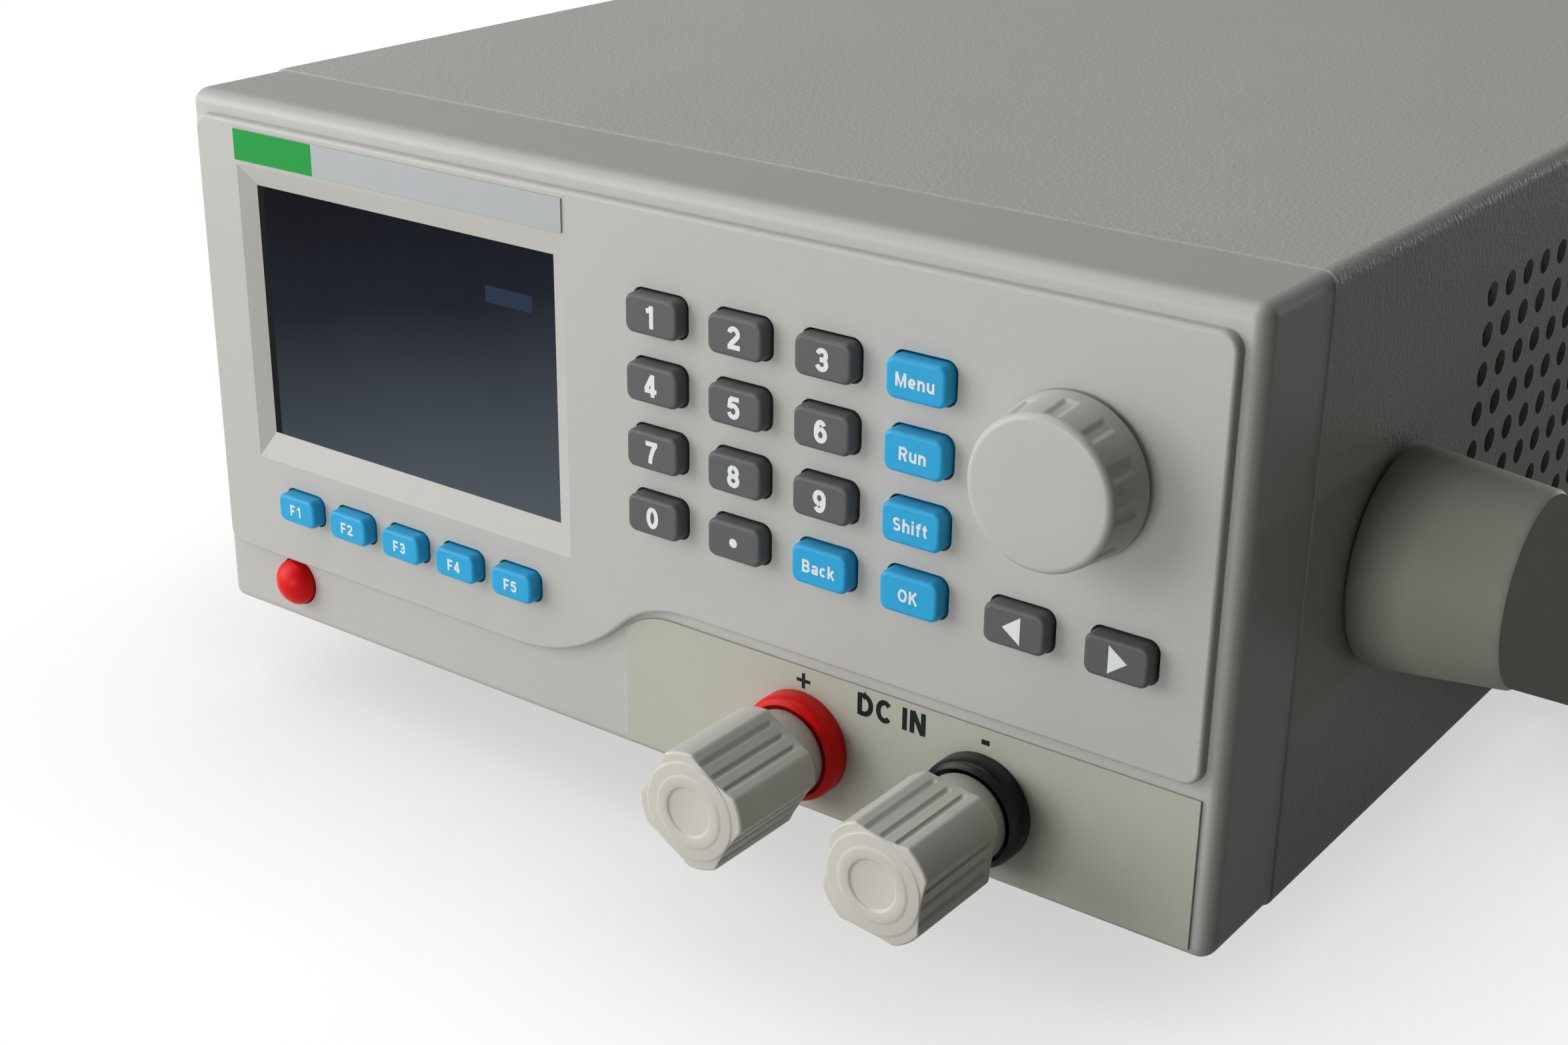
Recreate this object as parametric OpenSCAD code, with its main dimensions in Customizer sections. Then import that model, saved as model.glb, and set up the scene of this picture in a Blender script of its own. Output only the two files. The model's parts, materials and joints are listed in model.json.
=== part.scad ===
// Bench dc electronic load: moulded front, wrap-round sheet case and folding handle.
// Millimetres, +Z up, the front faces -Y. The origin is on the table, under the middle of the object.

/* [Case] */
// Width of the case over its side walls
case_w = 220; // [216:1:260]
// Height of the case without its feet
case_h = 104.5; // [103:0.5:130]
// Depth from the front rim to the outside of the rear panel
case_d = 330; // [310:1:400]
// Corner radius of the case, seen from the front
corner_r = 2.6; // [2.5:0.1:5]
// Thickness of the cover and chassis sheet
sheet_t = 1.2; // [0.8:0.1:2]
// Width of the flange that the cover folds in under the chassis
flange_w = 14; // [12:1:20]
// Height of the chassis tray's upturned edges
tray_h = 14; // [8:1:25]
// Thickness of the rear panel
rear_t = 1.5; // [1:0.1:3]
// Clearance between sheets that slide into each other
sheet_gap = 0.2; // [0.1:0.05:0.4]

/* [Bezel] */
// Depth of the bezel from its rim to the seam with the cover
bezel_d = 21.5; // [18:0.5:30]
// Wall thickness of the bezel
bezel_t = 2.5; // [2:0.1:3.5]
// How far the bezel stands back from the cover all round
bezel_set = 0.3; // [0.1:0.1:0.8]
// Length of the lip that the cover slides over
lip_l = 6; // [4:0.5:10]
// Rounding of the rim's front edge
rim_r = 2.4; // [1:0.1:2.5]
// Width of the rim beside the raised panel
rim_side = 3.5; // [3:0.1:6]
// Width of the rim above the raised panel
rim_top = 4.1; // [3:0.1:6]
// Height of the raised panel over the rim
panel_rise = 1.75; // [1:0.05:3]
// Corner radius of the raised panel
panel_r = 3; // [2:0.5:6]
// Height of the panel's lower edge under the display
panel_low = 14.2; // [13.8:0.1:18]
// Height of the panel's lower edge over the terminals
panel_high = 30.5; // [28:0.1:36]
// Radius of the S curve next to the low edge
swoop_low_r = 35; // [25:1:45]
// Radius of the S curve next to the high edge
swoop_high_r = 20.5; // [14:0.5:30]
// End of the S curve, from the right side of the case
swoop_end = 100.3; // [90:0.1:110]

/* [Display] */
// Left edge of the glass, from the left side of the case
glass_x = 17.7; // [14:0.1:24]
// Lower edge of the glass, from the underside of the case
glass_z = 39.9; // [38:0.1:42]
// Depth of the glass under the panel's face
glass_depth = 1.55; // [1:0.05:2.2]
// Width of the recess slope at the sides
slope_side = 3.5; // [2:0.1:5]
// Width of the recess slope at the top
slope_top = 3.8; // [2:0.1:5]
// Width of the recess slope at the bottom
slope_low = 5.3; // [3:0.1:6]
// Thickness of the window
window_t = 1.2; // [0.8:0.1:1.5]
// Margin of the window behind the recess
window_lip = 1.8; // [1:0.1:2.2]
// Thickness of the display module
module_t = 3.3; // [2.5:0.1:3.6]
// Clearance round the window and the module
window_gap = 0.2; // [0.1:0.05:0.3]
// Height of the title strip
strip_h = 5.9; // [4:0.1:6.5]
// Gap between the display recess and the title strip
strip_gap = 0.8; // [0.4:0.1:1.5]
// Gap between the title strip and the upper edge of the raised panel
strip_top = 1.4; // [1:0.1:2.5]
// Thickness of the title strip
strip_t = 0.3; // [0.2:0.05:0.6]

/* [Keys] */
// Width of a keypad key
key_w = 10.9; // [8:0.1:12]
// Height of a keypad key
key_h = 6.7; // [5:0.1:8]
// Width of a soft key
soft_w = 9.8; // [8:0.1:10.5]
// Height of a soft key
soft_h = 5.6; // [4.5:0.1:7]
// Corner radius of a key
key_r = 1.6; // [1:0.1:2.2]
// Rounding of a key's front edge
key_edge_r = 0.6; // [0.3:0.1:1]
// Height of a key over the panel
key_rise = 2.7; // [2:0.1:4]
// Travel of a key
key_travel = 1; // [0.5:0.1:1.4]
// Clearance round a key in its hole, and between a key and its stops
key_gap = 0.35; // [0.25:0.05:0.4]
// Width of the flange that holds a key behind the panel
key_lip = 1.1; // [0.8:0.1:1.3]
// Thickness of a key's flange
key_lip_t = 1; // [0.6:0.1:1.4]
// Diameter of a key's plunger
key_stem_d = 3; // [2:0.1:4]
// Column pitch of the keypad
col_pitch = 17.04; // [15:0.01:18]
// Row pitch of the keypad
row_pitch = 11.65; // [11.2:0.01:12]
// First column, from the right edge of the display recess
pad_gap = 20.9; // [18:0.1:24]
// Last column, from the centre of the knob
pad_knob = 26; // [25:0.1:32]
// First row, from the top of the case
pad_top = 21.1; // [18:0.1:22]
// Pitch of the soft keys
soft_pitch = 13.9; // [13:0.1:15]
// Height of the soft keys' centres, from the underside of the case
soft_z = 26.9; // [26:0.1:28]
// Pitch of the two arrow keys
arrow_pitch = 17.4; // [15:0.1:19]
// Middle of the two arrow keys, from the right side of the case
arrow_x = 25.9; // [24:0.1:28]

/* [Knob] */
// Diameter of the knob at its foot
knob_d = 26; // [22:0.1:28]
// Diameter of the knob at its face
knob_face_d = 24.2; // [20:0.1:26]
// Height of the knob's face over the panel
knob_reach = 10.2; // [9:0.1:15]
// Gap between the knob and the panel
knob_gap = 0.7; // [0.5:0.1:1.5]
// Rounding of the knob's front edge
knob_edge_r = 1; // [0.5:0.1:1.5]
// Wall thickness of the knob
knob_wall = 2; // [1.5:0.1:2.5]
// Thickness of the knob's crown
knob_crown_t = 3; // [2.5:0.1:4]
// Centre of the knob, from the right side of the case
knob_x = 27.6; // [24:0.1:29]
// Centre of the knob, from the top of the case
knob_top = 30.2; // [24:0.1:32]
// Number of grip notches in the knob
notch_count = 12; // [6:1:16]
// Direction of the first notch, from the top
notch_turn = 4.5; // [0:0.5:30]
// Width of a notch
notch_w = 2.6; // [1.5:0.1:3]
// Length of a notch
notch_l = 5.8; // [4:0.1:7]
// Distance of a notch behind the knob's face
notch_front = 1.1; // [0.8:0.1:2]
// Depth of a notch
notch_depth = 0.5; // [0.3:0.1:1.2]
// Diameter of the encoder shaft
shaft_d = 6; // [4:0.5:6.5]
// Radial running clearance of the shafts and pivots
run_gap = 0.05; // [0.03:0.01:0.09]
// Outside diameter of the encoder's bushing
bush_d = 9; // [8:0.5:10]
// Side of the encoder's square body
encoder_w = 12.5; // [11:0.5:14]

/* [Power button] */
// Diameter of the button
power_d = 9; // [7:0.1:9.2]
// Centre of the button, from the left side of the case
power_x = 20.6; // [14:0.1:30]
// Centre of the button, from the underside of the case
power_z = 9.3; // [9:0.1:9.5]
// Height of the button's dome over the rim
power_reach = 4; // [3.5:0.1:6]
// Travel of the button
power_travel = 3; // [1.5:0.1:3.2]
// Length of the switch behind the button
switch_l = 22; // [16:1:30]
// Diameter of the switch plunger
plunger_d = 5; // [3:0.1:6]

/* [Terminals] */
// Distance between the two posts
post_pitch = 35.1; // [32:0.1:40]
// Negative post, from the right side of the case
post_x = 41.2; // [34:0.1:46]
// Height of the posts, from the underside of the case
post_z = 14.2; // [13.5:0.1:15]
// Diameter of a collar at its base
collar_d = 18.8; // [17:0.1:21]
// Height of a collar over the label
collar_l = 4.5; // [3:0.1:6]
// Diameter of the collar's spigot through the panel
spigot_d = 11.8; // [10:0.1:13]
// Diameter of a cap over its lobes
cap_d = 20.3; // [18:0.1:22]
// Distance across a cap's grooved flats
cap_flat = 17; // [16:0.1:18]
// Radius of the hollow flats
hollow_r = 30; // [15:1:60]
// Length of the lobed part of a cap
cap_l = 20.7; // [16:0.1:24]
// How far a cap's lobes stand back from its round end
lobe_set = 0.7; // [0.4:0.1:1.2]
// Length of the smooth neck of a cap
neck_l = 5.3; // [4:0.1:9]
// Diameter of the neck
neck_d = 15; // [13:0.1:15.4]
// Width of a groove in a cap
groove_w = 0.9; // [0.5:0.1:1.2]
// Depth of a groove in a cap
groove_depth = 0.6; // [0.3:0.1:0.9]
// Pitch of the grooves on a flat
groove_pitch = 2.8; // [2:0.1:3.2]
// Direction of a flat of the positive cap
cap_turn_positive = 59; // [0:1:90]
// Direction of a flat of the negative cap
cap_turn_negative = 83; // [0:1:90]
// Diameter of a stud
stud_d = 6; // [4:0.5:6.5]
// Thickness of the label plate
label_t = 0.5; // [0.3:0.1:0.8]
// Width of the label plate
label_w = 110.9; // [95:0.1:116]
// Gap between the label plate and the raised panel
label_gap = 2.45; // [1:0.05:4]
// Lower edge of the label plate, from the underside of the case
label_z = 2.4; // [2:0.1:3]
// Corner radius of the label under the S curve
label_r = 15; // [8:1:18]

/* [Handle] */
// Pivot of the handle, behind the front rim
pivot_y = 52.4; // [48:0.1:60]
// Pivot of the handle, from the underside of the case
pivot_z = 51; // [46:0.1:54]
// Diameter of an arm's cup at the case
cup_d = 36.6; // [34:0.1:40]
// Rounding of the cup's rim
cup_edge_r = 2.5; // [1:0.1:4]
// Diameter of the fixed hub inside a cup
hub_d = 28; // [22:0.5:29]
// Length of a fixed hub
hub_l = 8; // [5:0.5:9]
// Distance from the case to an arm's outer face
arm_reach = 24.6; // [21:0.1:27]
// Thickness of an arm
arm_t = 10.2; // [8:0.1:11]
// Width of an arm at the pivot
arm_w = 31; // [26:0.5:33]
// Width of an arm at the grip
arm_end_w = 15; // [13:0.5:16]
// Distance from the pivot to the grip
handle_l = 119.5; // [105:0.5:126]
// Clearance between the folded grip and the underside of the case
grip_drop = 3.6; // [3:0.1:4]
// Diameter of the grip
grip_d = 11; // [9:0.5:12]
// Diameter of the grip's spigots in the arms
spigot_grip_d = 8; // [5:0.5:8.5]
// Diameter of the pivot bolts
pivot_d = 8; // [6:0.5:10]
// Clearance between pieces that turn past each other
turn_gap = 0.3; // [0.2:0.05:0.5]

/* [Vents] */
// Diameter of a vent hole
vent_d = 4.4; // [3:0.1:5]
// Pitch of the vent columns
vent_pitch_y = 8.13; // [7:0.01:10]
// Pitch of the vent rows
vent_pitch_z = 7; // [6:0.05:8]
// First vent column, behind the front rim
vent_y = 85.8; // [84:0.1:110]
// Top vent row, from the top of the case
vent_top = 18.6; // [14:0.1:24]
// Number of vent columns
vent_cols = 11; // [4:1:14]
// Number of vent rows
vent_rows = 9; // [3:1:9]

/* [Feet] */
// Height of the feet under the case
foot_h = 18; // [17:0.5:24]
// Diameter of a foot at the chassis
foot_d = 20; // [16:0.5:24]
// Diameter of a foot at the table
foot_tip_d = 17; // [12:0.5:20]
// Feet from the sides of the case
foot_inset_x = 38; // [34:1:60]
// Front feet behind the front rim
foot_front = 46; // [44:1:60]
// Rear feet in front of the rear panel
foot_back = 40; // [30:1:60]

/* [Cooling and power] */
// Side of the fan frame
fan_w = 80; // [70:1:84]
// Thickness of the fan
fan_t = 25; // [20:1:32]
// Distance of the fan's screws from the edges of its frame
fan_inset = 4.25; // [4:0.05:5]
// Diameter of the rotor's hub
rotor_hub_d = 32; // [24:1:40]
// Number of blades
blade_count = 7; // [3:1:9]
// Fan centre, right of the middle of the case
fan_x = 46; // [42:1:52]
// Diameter of the guard wire
wire_d = 2; // [1.4:0.1:3]
// Length of the heat sink
sink_l = 120; // [80:1:140]
// Height of the heat sink
sink_h = 84; // [60:1:88]
// Number of fins
fin_count = 11; // [7:1:14]
// Thickness of a fin
fin_t = 2.4; // [1.5:0.1:3.5]
// Height of the main board over the chassis
board_lift = 6; // [4:0.5:12]
// Thickness of the circuit boards
board_t = 1.6; // [1:0.1:2]
// Length of the main board
board_l = 150; // [100:1:160]
// Side of the transformer's core
core_w = 54; // [40:1:60]
// Thickness of the transformer's core
core_t = 24; // [16:1:32]
// Width of the board's strip along the heat sink
board_strip_w = 30; // [20:1:40]
// Height of the heat sink's base
sink_base_t = 8; // [5:0.5:12]
// Width of a transistor
fet_w = 16; // [12:0.5:18]
// Height of a transistor
fet_h = 21; // [16:0.5:24]
// Thickness of a transistor
fet_t = 5; // [3:0.5:6]
// Height of the transistors over the board
fet_lift = 12; // [8:0.5:16]

/* [Rear connectors] */
// Mains inlet, left of the middle of the case
inlet_x = 72; // [60:1:80]
// Middle of the mains inlet, from the underside of the case
inlet_up = 54; // [48:1:60]
// Width of the inlet's flange
inlet_w = 32; // [30:0.5:36]
// Height of the inlet's flange
inlet_h = 44; // [40:0.5:50]
// Thickness of the inlet's flange
inlet_t = 3; // [2:0.1:4]
// Width of the flange outside the panel's cut-out
inlet_lip = 2; // [1.5:0.1:3]
// Depth of the inlet behind the rear panel
inlet_l = 20; // [17:0.5:28]
// Width of the mains socket
socket_w = 24.4; // [22:0.1:25]
// Height of the mains socket
socket_h = 16.2; // [15:0.1:17]
// Depth of the mains socket
socket_d = 15; // [12:0.5:16]
// Mains socket, over the middle of the inlet
socket_up = 8; // [7:0.5:10]
// Width of a mains pin
pin_w = 2; // [1.5:0.1:2.5]
// Height of a mains pin
pin_h = 4; // [3:0.1:5]
// Pitch of the outer mains pins from the middle one
pin_pitch = 7; // [6:0.1:8]
// Shift of the mains pins from the socket's middle line
pin_shift = 2; // [1:0.1:3]
// Distance of the pin tips behind the inlet's face
pin_back = 8; // [4:0.5:10]
// Width of the fuse drawer
drawer_w = 22; // [18:0.5:24]
// Height of the fuse drawer
drawer_h = 9; // [7:0.5:10]
// Width of the groove round the fuse drawer
drawer_groove = 0.8; // [0.5:0.1:1.2]
// Depth of the groove round the fuse drawer
drawer_depth = 1; // [0.5:0.1:1.5]
// Fuse drawer, under the middle of the inlet
drawer_down = 11; // [10:0.5:13]
// Serial port, left of the middle of the case
port_x = 25; // [20:1:30]
// Middle of the serial port, from the underside of the case
port_up = 72; // [60:1:78]
// How far the serial port stands out of the rear panel
port_reach = 6; // [4:0.5:8]
// Width of the port's shell
port_w = 17; // [15:0.1:20]
// Height of the port's shell
port_h = 8.4; // [7:0.1:10]
// Corner radius of the port's shell
port_r = 2.5; // [1.5:0.1:3]
// Wall thickness of the port's shell
port_wall = 0.6; // [0.4:0.1:1]
// Depth of the port behind the rear panel
port_l = 10; // [6:0.5:14]
// Width of the port's plate
port_plate_w = 31; // [29:0.1:34]
// Height of the port's plate
port_plate_h = 12.5; // [11:0.1:14]
// Thickness of the port's plate
port_plate_t = 1; // [0.8:0.1:1.5]
// Pitch of the port's hexagon posts
port_post_pitch = 25; // [23:0.1:26]
// Size of a hexagon post over its corners
port_post_d = 5; // [4:0.1:5.5]
// Length of a hexagon post
port_post_l = 4.5; // [3:0.1:6]

/* [Hidden] */
$fn = 64;
cut = 1;

// Colours
panel_grey = [0.73, 0.725, 0.705];
cover_grey = [0.59, 0.59, 0.57];
key_grey = [0.36, 0.37, 0.37];
key_blue = [0.2, 0.66, 0.88];

// Main planes
half_w = case_w / 2;
base_z = foot_h;
cap_reach = label_t + collar_l + cap_l + neck_l - 0.5;
rim_y = (cap_reach - case_d - port_reach) / 2;
face_y = rim_y - panel_rise;
wall_y = rim_y + bezel_t;
seam_y = rim_y + bezel_d;
rear_y = rim_y + case_d;
rear_in = rear_y - rear_t;
tray_z = base_z + sheet_t;
floor_z = tray_z + sheet_t;
mid_z = base_z + case_h / 2;
inner_w = case_w - 2 * (sheet_t + sheet_gap);
inner_h = case_h - 2 * (sheet_t + sheet_gap);

// Front panel layout
panel_left = -half_w + rim_side;
panel_right = half_w - rim_side;
panel_top = case_h - rim_top;
swoop_x = half_w - swoop_end;
swoop_sum = swoop_low_r + swoop_high_r;
swoop_a = acos(1 - (panel_high - panel_low) / swoop_sum);
swoop_start = swoop_x - swoop_sum * sin(swoop_a);
knob_cx = half_w - knob_x;
knob_z = case_h - knob_top;
pad_x = knob_cx - pad_knob - 3 * col_pitch;
pad_z = case_h - pad_top;
glass_left = -half_w + glass_x;
glass_right = pad_x - pad_gap - slope_side;
glass_w = glass_right - glass_left;
glass_top = panel_top - strip_top - strip_h - strip_gap - slope_top;
glass_h = glass_top - glass_z;
glass_mid = (glass_left + glass_right) / 2;
glass_y = face_y + glass_depth;
recess_left = glass_left - slope_side;
recess_right = glass_right + slope_side;
recess_low = glass_z - slope_low;
recess_top = glass_top + slope_top;
window_w = glass_w + 2 * window_lip;
window_h = glass_h + 2 * window_lip;
window_z = base_z + glass_z + glass_h / 2;

// Keys: name, centre x, centre z, width, height, colour
arrow_z = base_z + pad_z - 3 * row_pitch;
PAD = [["key_1", 0, 0, key_grey], ["key_2", 1, 0, key_grey], ["key_3", 2, 0, key_grey], ["key_menu", 3, 0, key_blue],
  ["key_4", 0, 1, key_grey], ["key_5", 1, 1, key_grey], ["key_6", 2, 1, key_grey], ["key_run", 3, 1, key_blue],
  ["key_7", 0, 2, key_grey], ["key_8", 1, 2, key_grey], ["key_9", 2, 2, key_grey], ["key_shift", 3, 2, key_blue],
  ["key_0", 0, 3, key_grey], ["key_point", 1, 3, key_grey], ["key_back", 2, 3, key_blue], ["key_ok", 3, 3, key_blue]];
KEYS = concat(
  [for (p = PAD) [p[0], pad_x + p[1] * col_pitch, base_z + pad_z - p[2] * row_pitch, key_w, key_h, p[3]]],
  [["key_left", half_w - arrow_x - arrow_pitch / 2, arrow_z, key_w, key_h, key_grey],
    ["key_right", half_w - arrow_x + arrow_pitch / 2, arrow_z, key_w, key_h, key_grey]],
  [for (i = [1:5]) [str("soft_key_", i), glass_mid + (i - 3) * soft_pitch, base_z + soft_z, soft_w, soft_h, key_blue]]);
key_face = face_y - key_rise;
key_back = wall_y + key_gap;
key_stem_end = key_back + key_lip_t + 1.4;
pcb_y = key_stem_end + key_travel + key_gap;

// Terminals, as distances in front of the rim
posts = [half_w - post_x - post_pitch, half_w - post_x];
collar_front = label_t + collar_l;
collar_floor = collar_front - 1.6;
stud_shoulder = collar_floor + 0.8;
neck_back = collar_front - 0.5;
lobe_back = neck_back + neck_l;
spigot_end = bezel_t + 1;
nut_l = 5;
stud_tip = cap_reach - 4;

// Handle
pivot_cy = rim_y + pivot_y;
pivot_cz = base_z + pivot_z;
arm_in = arm_reach - arm_t;
bolt_tip = arm_reach - 3;
arm_edge = 0.8;
bolt_head_l = 4;
grip_z = base_z - grip_drop - grip_d / 2;
handle_rest = asin((pivot_cz - grip_z) / handle_l);
grip_y = pivot_cy + handle_l * cos(handle_rest);
grip_spigot_l = 6;

// Rear and inside
fan_z = base_z + case_h / 2;
fan_bore = fan_w - 4;
fan_pitch = fan_w - 2 * fan_inset;
rotor_l = fan_t - 7;
fan_pin_d = 4;
fan_disc_t = 4;
board_z = floor_z + board_lift;
sink_w = fan_w + 4;
sink_left = fan_x - sink_w / 2;
sink_back = rear_in - fan_t - 6;
fin_pitch = (sink_w - fin_t) / (fin_count - 1);
fet_z = board_z + board_t + fet_lift;
screw_d = 3;
screw_hole_d = screw_d + 0.4;
head_d = 5.6;
head_h = 1.7;
recess_l = 3.3;
recess_w = 0.8;
recess_depth = 0.9;

// Shared shapes
function arc(c, r, a0, a1, n = 10) = [for (i = [0:n]) c + r * [cos(a0 + (a1 - a0) * i / n), sin(a0 + (a1 - a0) * i / n)]];

module rounded_rect(w, h, r) {
  square([w - 2 * r, h], center = true);
  square([w, h - 2 * r], center = true);
  for (x = [-1, 1], y = [-1, 1]) translate([x * (w / 2 - r), y * (h / 2 - r)]) circle(r);
}

// Extrudes an outline drawn in X and Z from y0 back to y1
module from_y(y0, y1) {
  translate([0, y1, 0]) rotate([90, 0, 0]) linear_extrude(y1 - y0) children();
}

// Extrudes an outline drawn in Y and Z from x0 to x1
module from_x(x0, x1) {
  translate([x0, 0, 0]) rotate([90, 0, 90]) linear_extrude(x1 - x0) children();
}

// Extrudes an outline drawn in X and Y from z0 to z1
module from_z(z0, z1) {
  translate([0, 0, z0]) linear_extrude(z1 - z0) children();
}

module rod_y(d, y0, y1, x, z) {
  translate([x, y1, z]) rotate([90, 0, 0]) cylinder(d = d, h = y1 - y0);
}

module rod_x(d, x0, x1, y, z) {
  translate([x0, y, z]) rotate([0, 90, 0]) cylinder(d = d, h = x1 - x0);
}

// Turns a profile of radius and distance forward of y about an axis along Y
module turned_y(x, y, z) {
  translate([x, y, z]) rotate([90, 0, 0]) rotate_extrude() children();
}

// Block with a rounded outline and a rounded front edge
module pillow(x, z, w, h, y0, y1, r, edge_r) {
  d = y1 - y0;
  intersection() {
    from_y(y0, y1) translate([x, z]) rounded_rect(w, h, r);
    from_x(x - w / 2 - cut, x + w / 2 + cut) translate([y0 + d, z]) rounded_rect(2 * d, h, edge_r);
    from_z(z - h / 2 - cut, z + h / 2 + cut) translate([x, y0 + d]) rounded_rect(w, 2 * d, edge_r);
  }
}

// Front panel
module panel_outline() {
  r = panel_r;
  polygon(concat(
    arc([panel_left + r, panel_low + r], r, 180, 270),
    arc([swoop_start, panel_low + swoop_low_r], swoop_low_r, 270, 270 + swoop_a),
    arc([swoop_x, panel_high - swoop_high_r], swoop_high_r, 90 + swoop_a, 90),
    arc([panel_right - r, panel_high + r], r, -90, 0),
    arc([panel_right - r, panel_top - r], r, 0, 90),
    arc([panel_left + r, panel_top - r], r, 90, 180)));
}

module display_recess() {
  front = face_y - cut;
  k = cut / glass_depth;
  intersection() {
    from_z(0, base_z + case_h) polygon([
      [recess_left - k * slope_side, front], [recess_right + k * slope_side, front],
      [glass_right, glass_y], [glass_left, glass_y]]);
    from_x(recess_left - cut * 4, recess_right + cut * 4) polygon([
      [front, base_z + recess_low - k * slope_low], [front, base_z + recess_top + k * slope_top],
      [glass_y, base_z + glass_top], [glass_y, base_z + glass_z]]);
  }
}

pcb_left = -half_w + bezel_t + 3;
pcb_right = half_w - bezel_t - 3;
pcb_low = post_z + 8;
pcb_high = case_h - bezel_t - 3;
boss_d = 5;
boss_inset = 3;
module boss_places() {
  for (x = [pcb_left + boss_inset, recess_right + 7, pcb_right - boss_inset])
    for (z = [pcb_low + boss_inset, pcb_high - boss_inset])
      translate([x, 0, base_z + z]) children();
}

module front_bezel() color(panel_grey) difference() {
  w = case_w - 2 * bezel_set;
  h = case_h - 2 * bezel_set;
  union() {
    pillow(0, mid_z, w, h, rim_y, seam_y, corner_r, rim_r);
    from_y(face_y, wall_y) translate([0, base_z]) panel_outline();
    from_y(wall_y, seam_y + lip_l) translate([0, mid_z]) rounded_rect(inner_w, inner_h, corner_r - sheet_t);
  }
  difference() {
    from_y(wall_y, seam_y + lip_l + cut) translate([0, mid_z])
      rounded_rect(case_w - 2 * bezel_t, case_h - 2 * bezel_t, corner_r - sheet_t);
    boss_places() rod_y(boss_d, wall_y - cut, pcb_y, 0, 0);
  }
  display_recess();
  from_y(glass_y, wall_y + cut) translate([glass_mid, window_z])
    rounded_rect(window_w + 2 * window_gap, window_h + 2 * window_gap, 1);
  for (k = KEYS) from_y(face_y - cut, wall_y + cut) translate([k[1], k[2]])
    rounded_rect(k[3] + 2 * key_gap, k[4] + 2 * key_gap, key_r + key_gap);
  rod_y(bush_d + 2 * key_gap, face_y - cut, wall_y + cut, knob_cx, base_z + knob_z);
  rod_y(power_d + 2 * key_gap, rim_y - cut, wall_y + cut, -half_w + power_x, base_z + power_z);
  for (x = posts) rod_y(spigot_d + 2 * sheet_gap, rim_y - cut, wall_y + cut, x, base_z + post_z);
}

module title_strip() color([0.8, 0.82, 0.83])
  from_y(face_y - strip_t, face_y) translate([recess_left, base_z + recess_top + strip_gap])
    square([recess_right - recess_left, strip_h]);

module lcd_window() color([0.08, 0.09, 0.12])
  from_y(glass_y, glass_y + window_t) translate([glass_mid, window_z]) rounded_rect(window_w, window_h, 1);

module lcd_module() color([0.3, 0.31, 0.33])
  from_y(glass_y + window_t, glass_y + window_t + module_t) translate([glass_mid, window_z])
    rounded_rect(window_w - window_gap, window_h - window_gap, 1);

module key(k) color(k[5]) {
  pillow(k[1], k[2], k[3], k[4], key_face, key_back, key_r, key_edge_r);
  from_y(key_back, key_back + key_lip_t) translate([k[1], k[2]])
    rounded_rect(k[3] + 2 * key_lip, k[4] + 2 * key_lip, key_r);
  rod_y(key_stem_d, key_back + key_lip_t, key_stem_end, k[1], k[2]);
}

// Knob and encoder
knob_back = panel_rise + knob_gap;
knob_front = panel_rise + knob_reach;
knob_taper = atan((knob_d - knob_face_d) / 2 / (knob_reach - knob_gap));
shaft_back = -bezel_t - 2;
shaft_tip = knob_front - knob_crown_t * 0.6;
bush_tip = knob_back + 2.2;
module knob() color(panel_grey) difference() {
  turned_y(knob_cx, rim_y, base_z + knob_z) {
    face_r = knob_face_d / 2;
    polygon(concat(
      [[shaft_d / 2 + run_gap, bush_tip + 1], [shaft_d / 2 + knob_wall, bush_tip + 1],
        [shaft_d / 2 + knob_wall, knob_front - knob_crown_t], [face_r - knob_wall, knob_front - knob_crown_t],
        [knob_d / 2 - knob_wall, knob_back], [knob_d / 2, knob_back]],
      arc([face_r - knob_edge_r, knob_front - knob_edge_r], knob_edge_r, 0, 90, 6),
      [[0, knob_front], [0, shaft_tip], [shaft_d / 2 + run_gap, shaft_tip]]));
  }
  for (i = [0:notch_count - 1]) translate([knob_cx, rim_y - knob_front, base_z + knob_z])
    rotate([0, i * 360 / notch_count + notch_turn, 0]) translate([0, 0, knob_face_d / 2]) rotate([knob_taper, 0, 0])
      translate([0, notch_front + notch_l / 2, -notch_depth])
        linear_extrude(notch_depth + cut) rounded_rect(notch_w, notch_l, notch_w * 0.49);
}

module encoder_shaft() color([0.75, 0.75, 0.76])
  rod_y(shaft_d, rim_y - shaft_tip + run_gap, rim_y - shaft_back, knob_cx, base_z + knob_z);

module encoder_body() color([0.25, 0.27, 0.28]) difference() {
  union() {
    from_y(key_back, pcb_y) translate([knob_cx, base_z + knob_z]) square(encoder_w, center = true);
    rod_y(bush_d, rim_y - bush_tip, key_back, knob_cx, base_z + knob_z);
  }
  rod_y(shaft_d + 2 * run_gap, rim_y - bush_tip - cut, rim_y - shaft_back + key_gap, knob_cx, base_z + knob_z);
}

// Power button and switch
power_cx = -half_w + power_x;
power_cz = base_z + power_z;
button_lip_t = 1;
button_lip_back = bezel_t + key_gap + button_lip_t;
switch_front = button_lip_back + power_travel + key_gap;
plunger_end = switch_front + 8;
module power_button() color([0.78, 0.12, 0.12]) turned_y(power_cx, rim_y, power_cz) {
  r = power_d / 2;
  dome_r = (r * r + 2.5 * 2.5) / (2 * 2.5);
  dome_a = asin(r / dome_r);
  polygon(concat(
    [[0, -plunger_end], [plunger_d / 2, -plunger_end], [plunger_d / 2, -button_lip_back],
      [r + key_lip, -button_lip_back], [r + key_lip, -bezel_t - key_gap], [r, -bezel_t - key_gap]],
    arc([0, power_reach - dome_r], dome_r, 90 - dome_a, 90, 12)));
}

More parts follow.
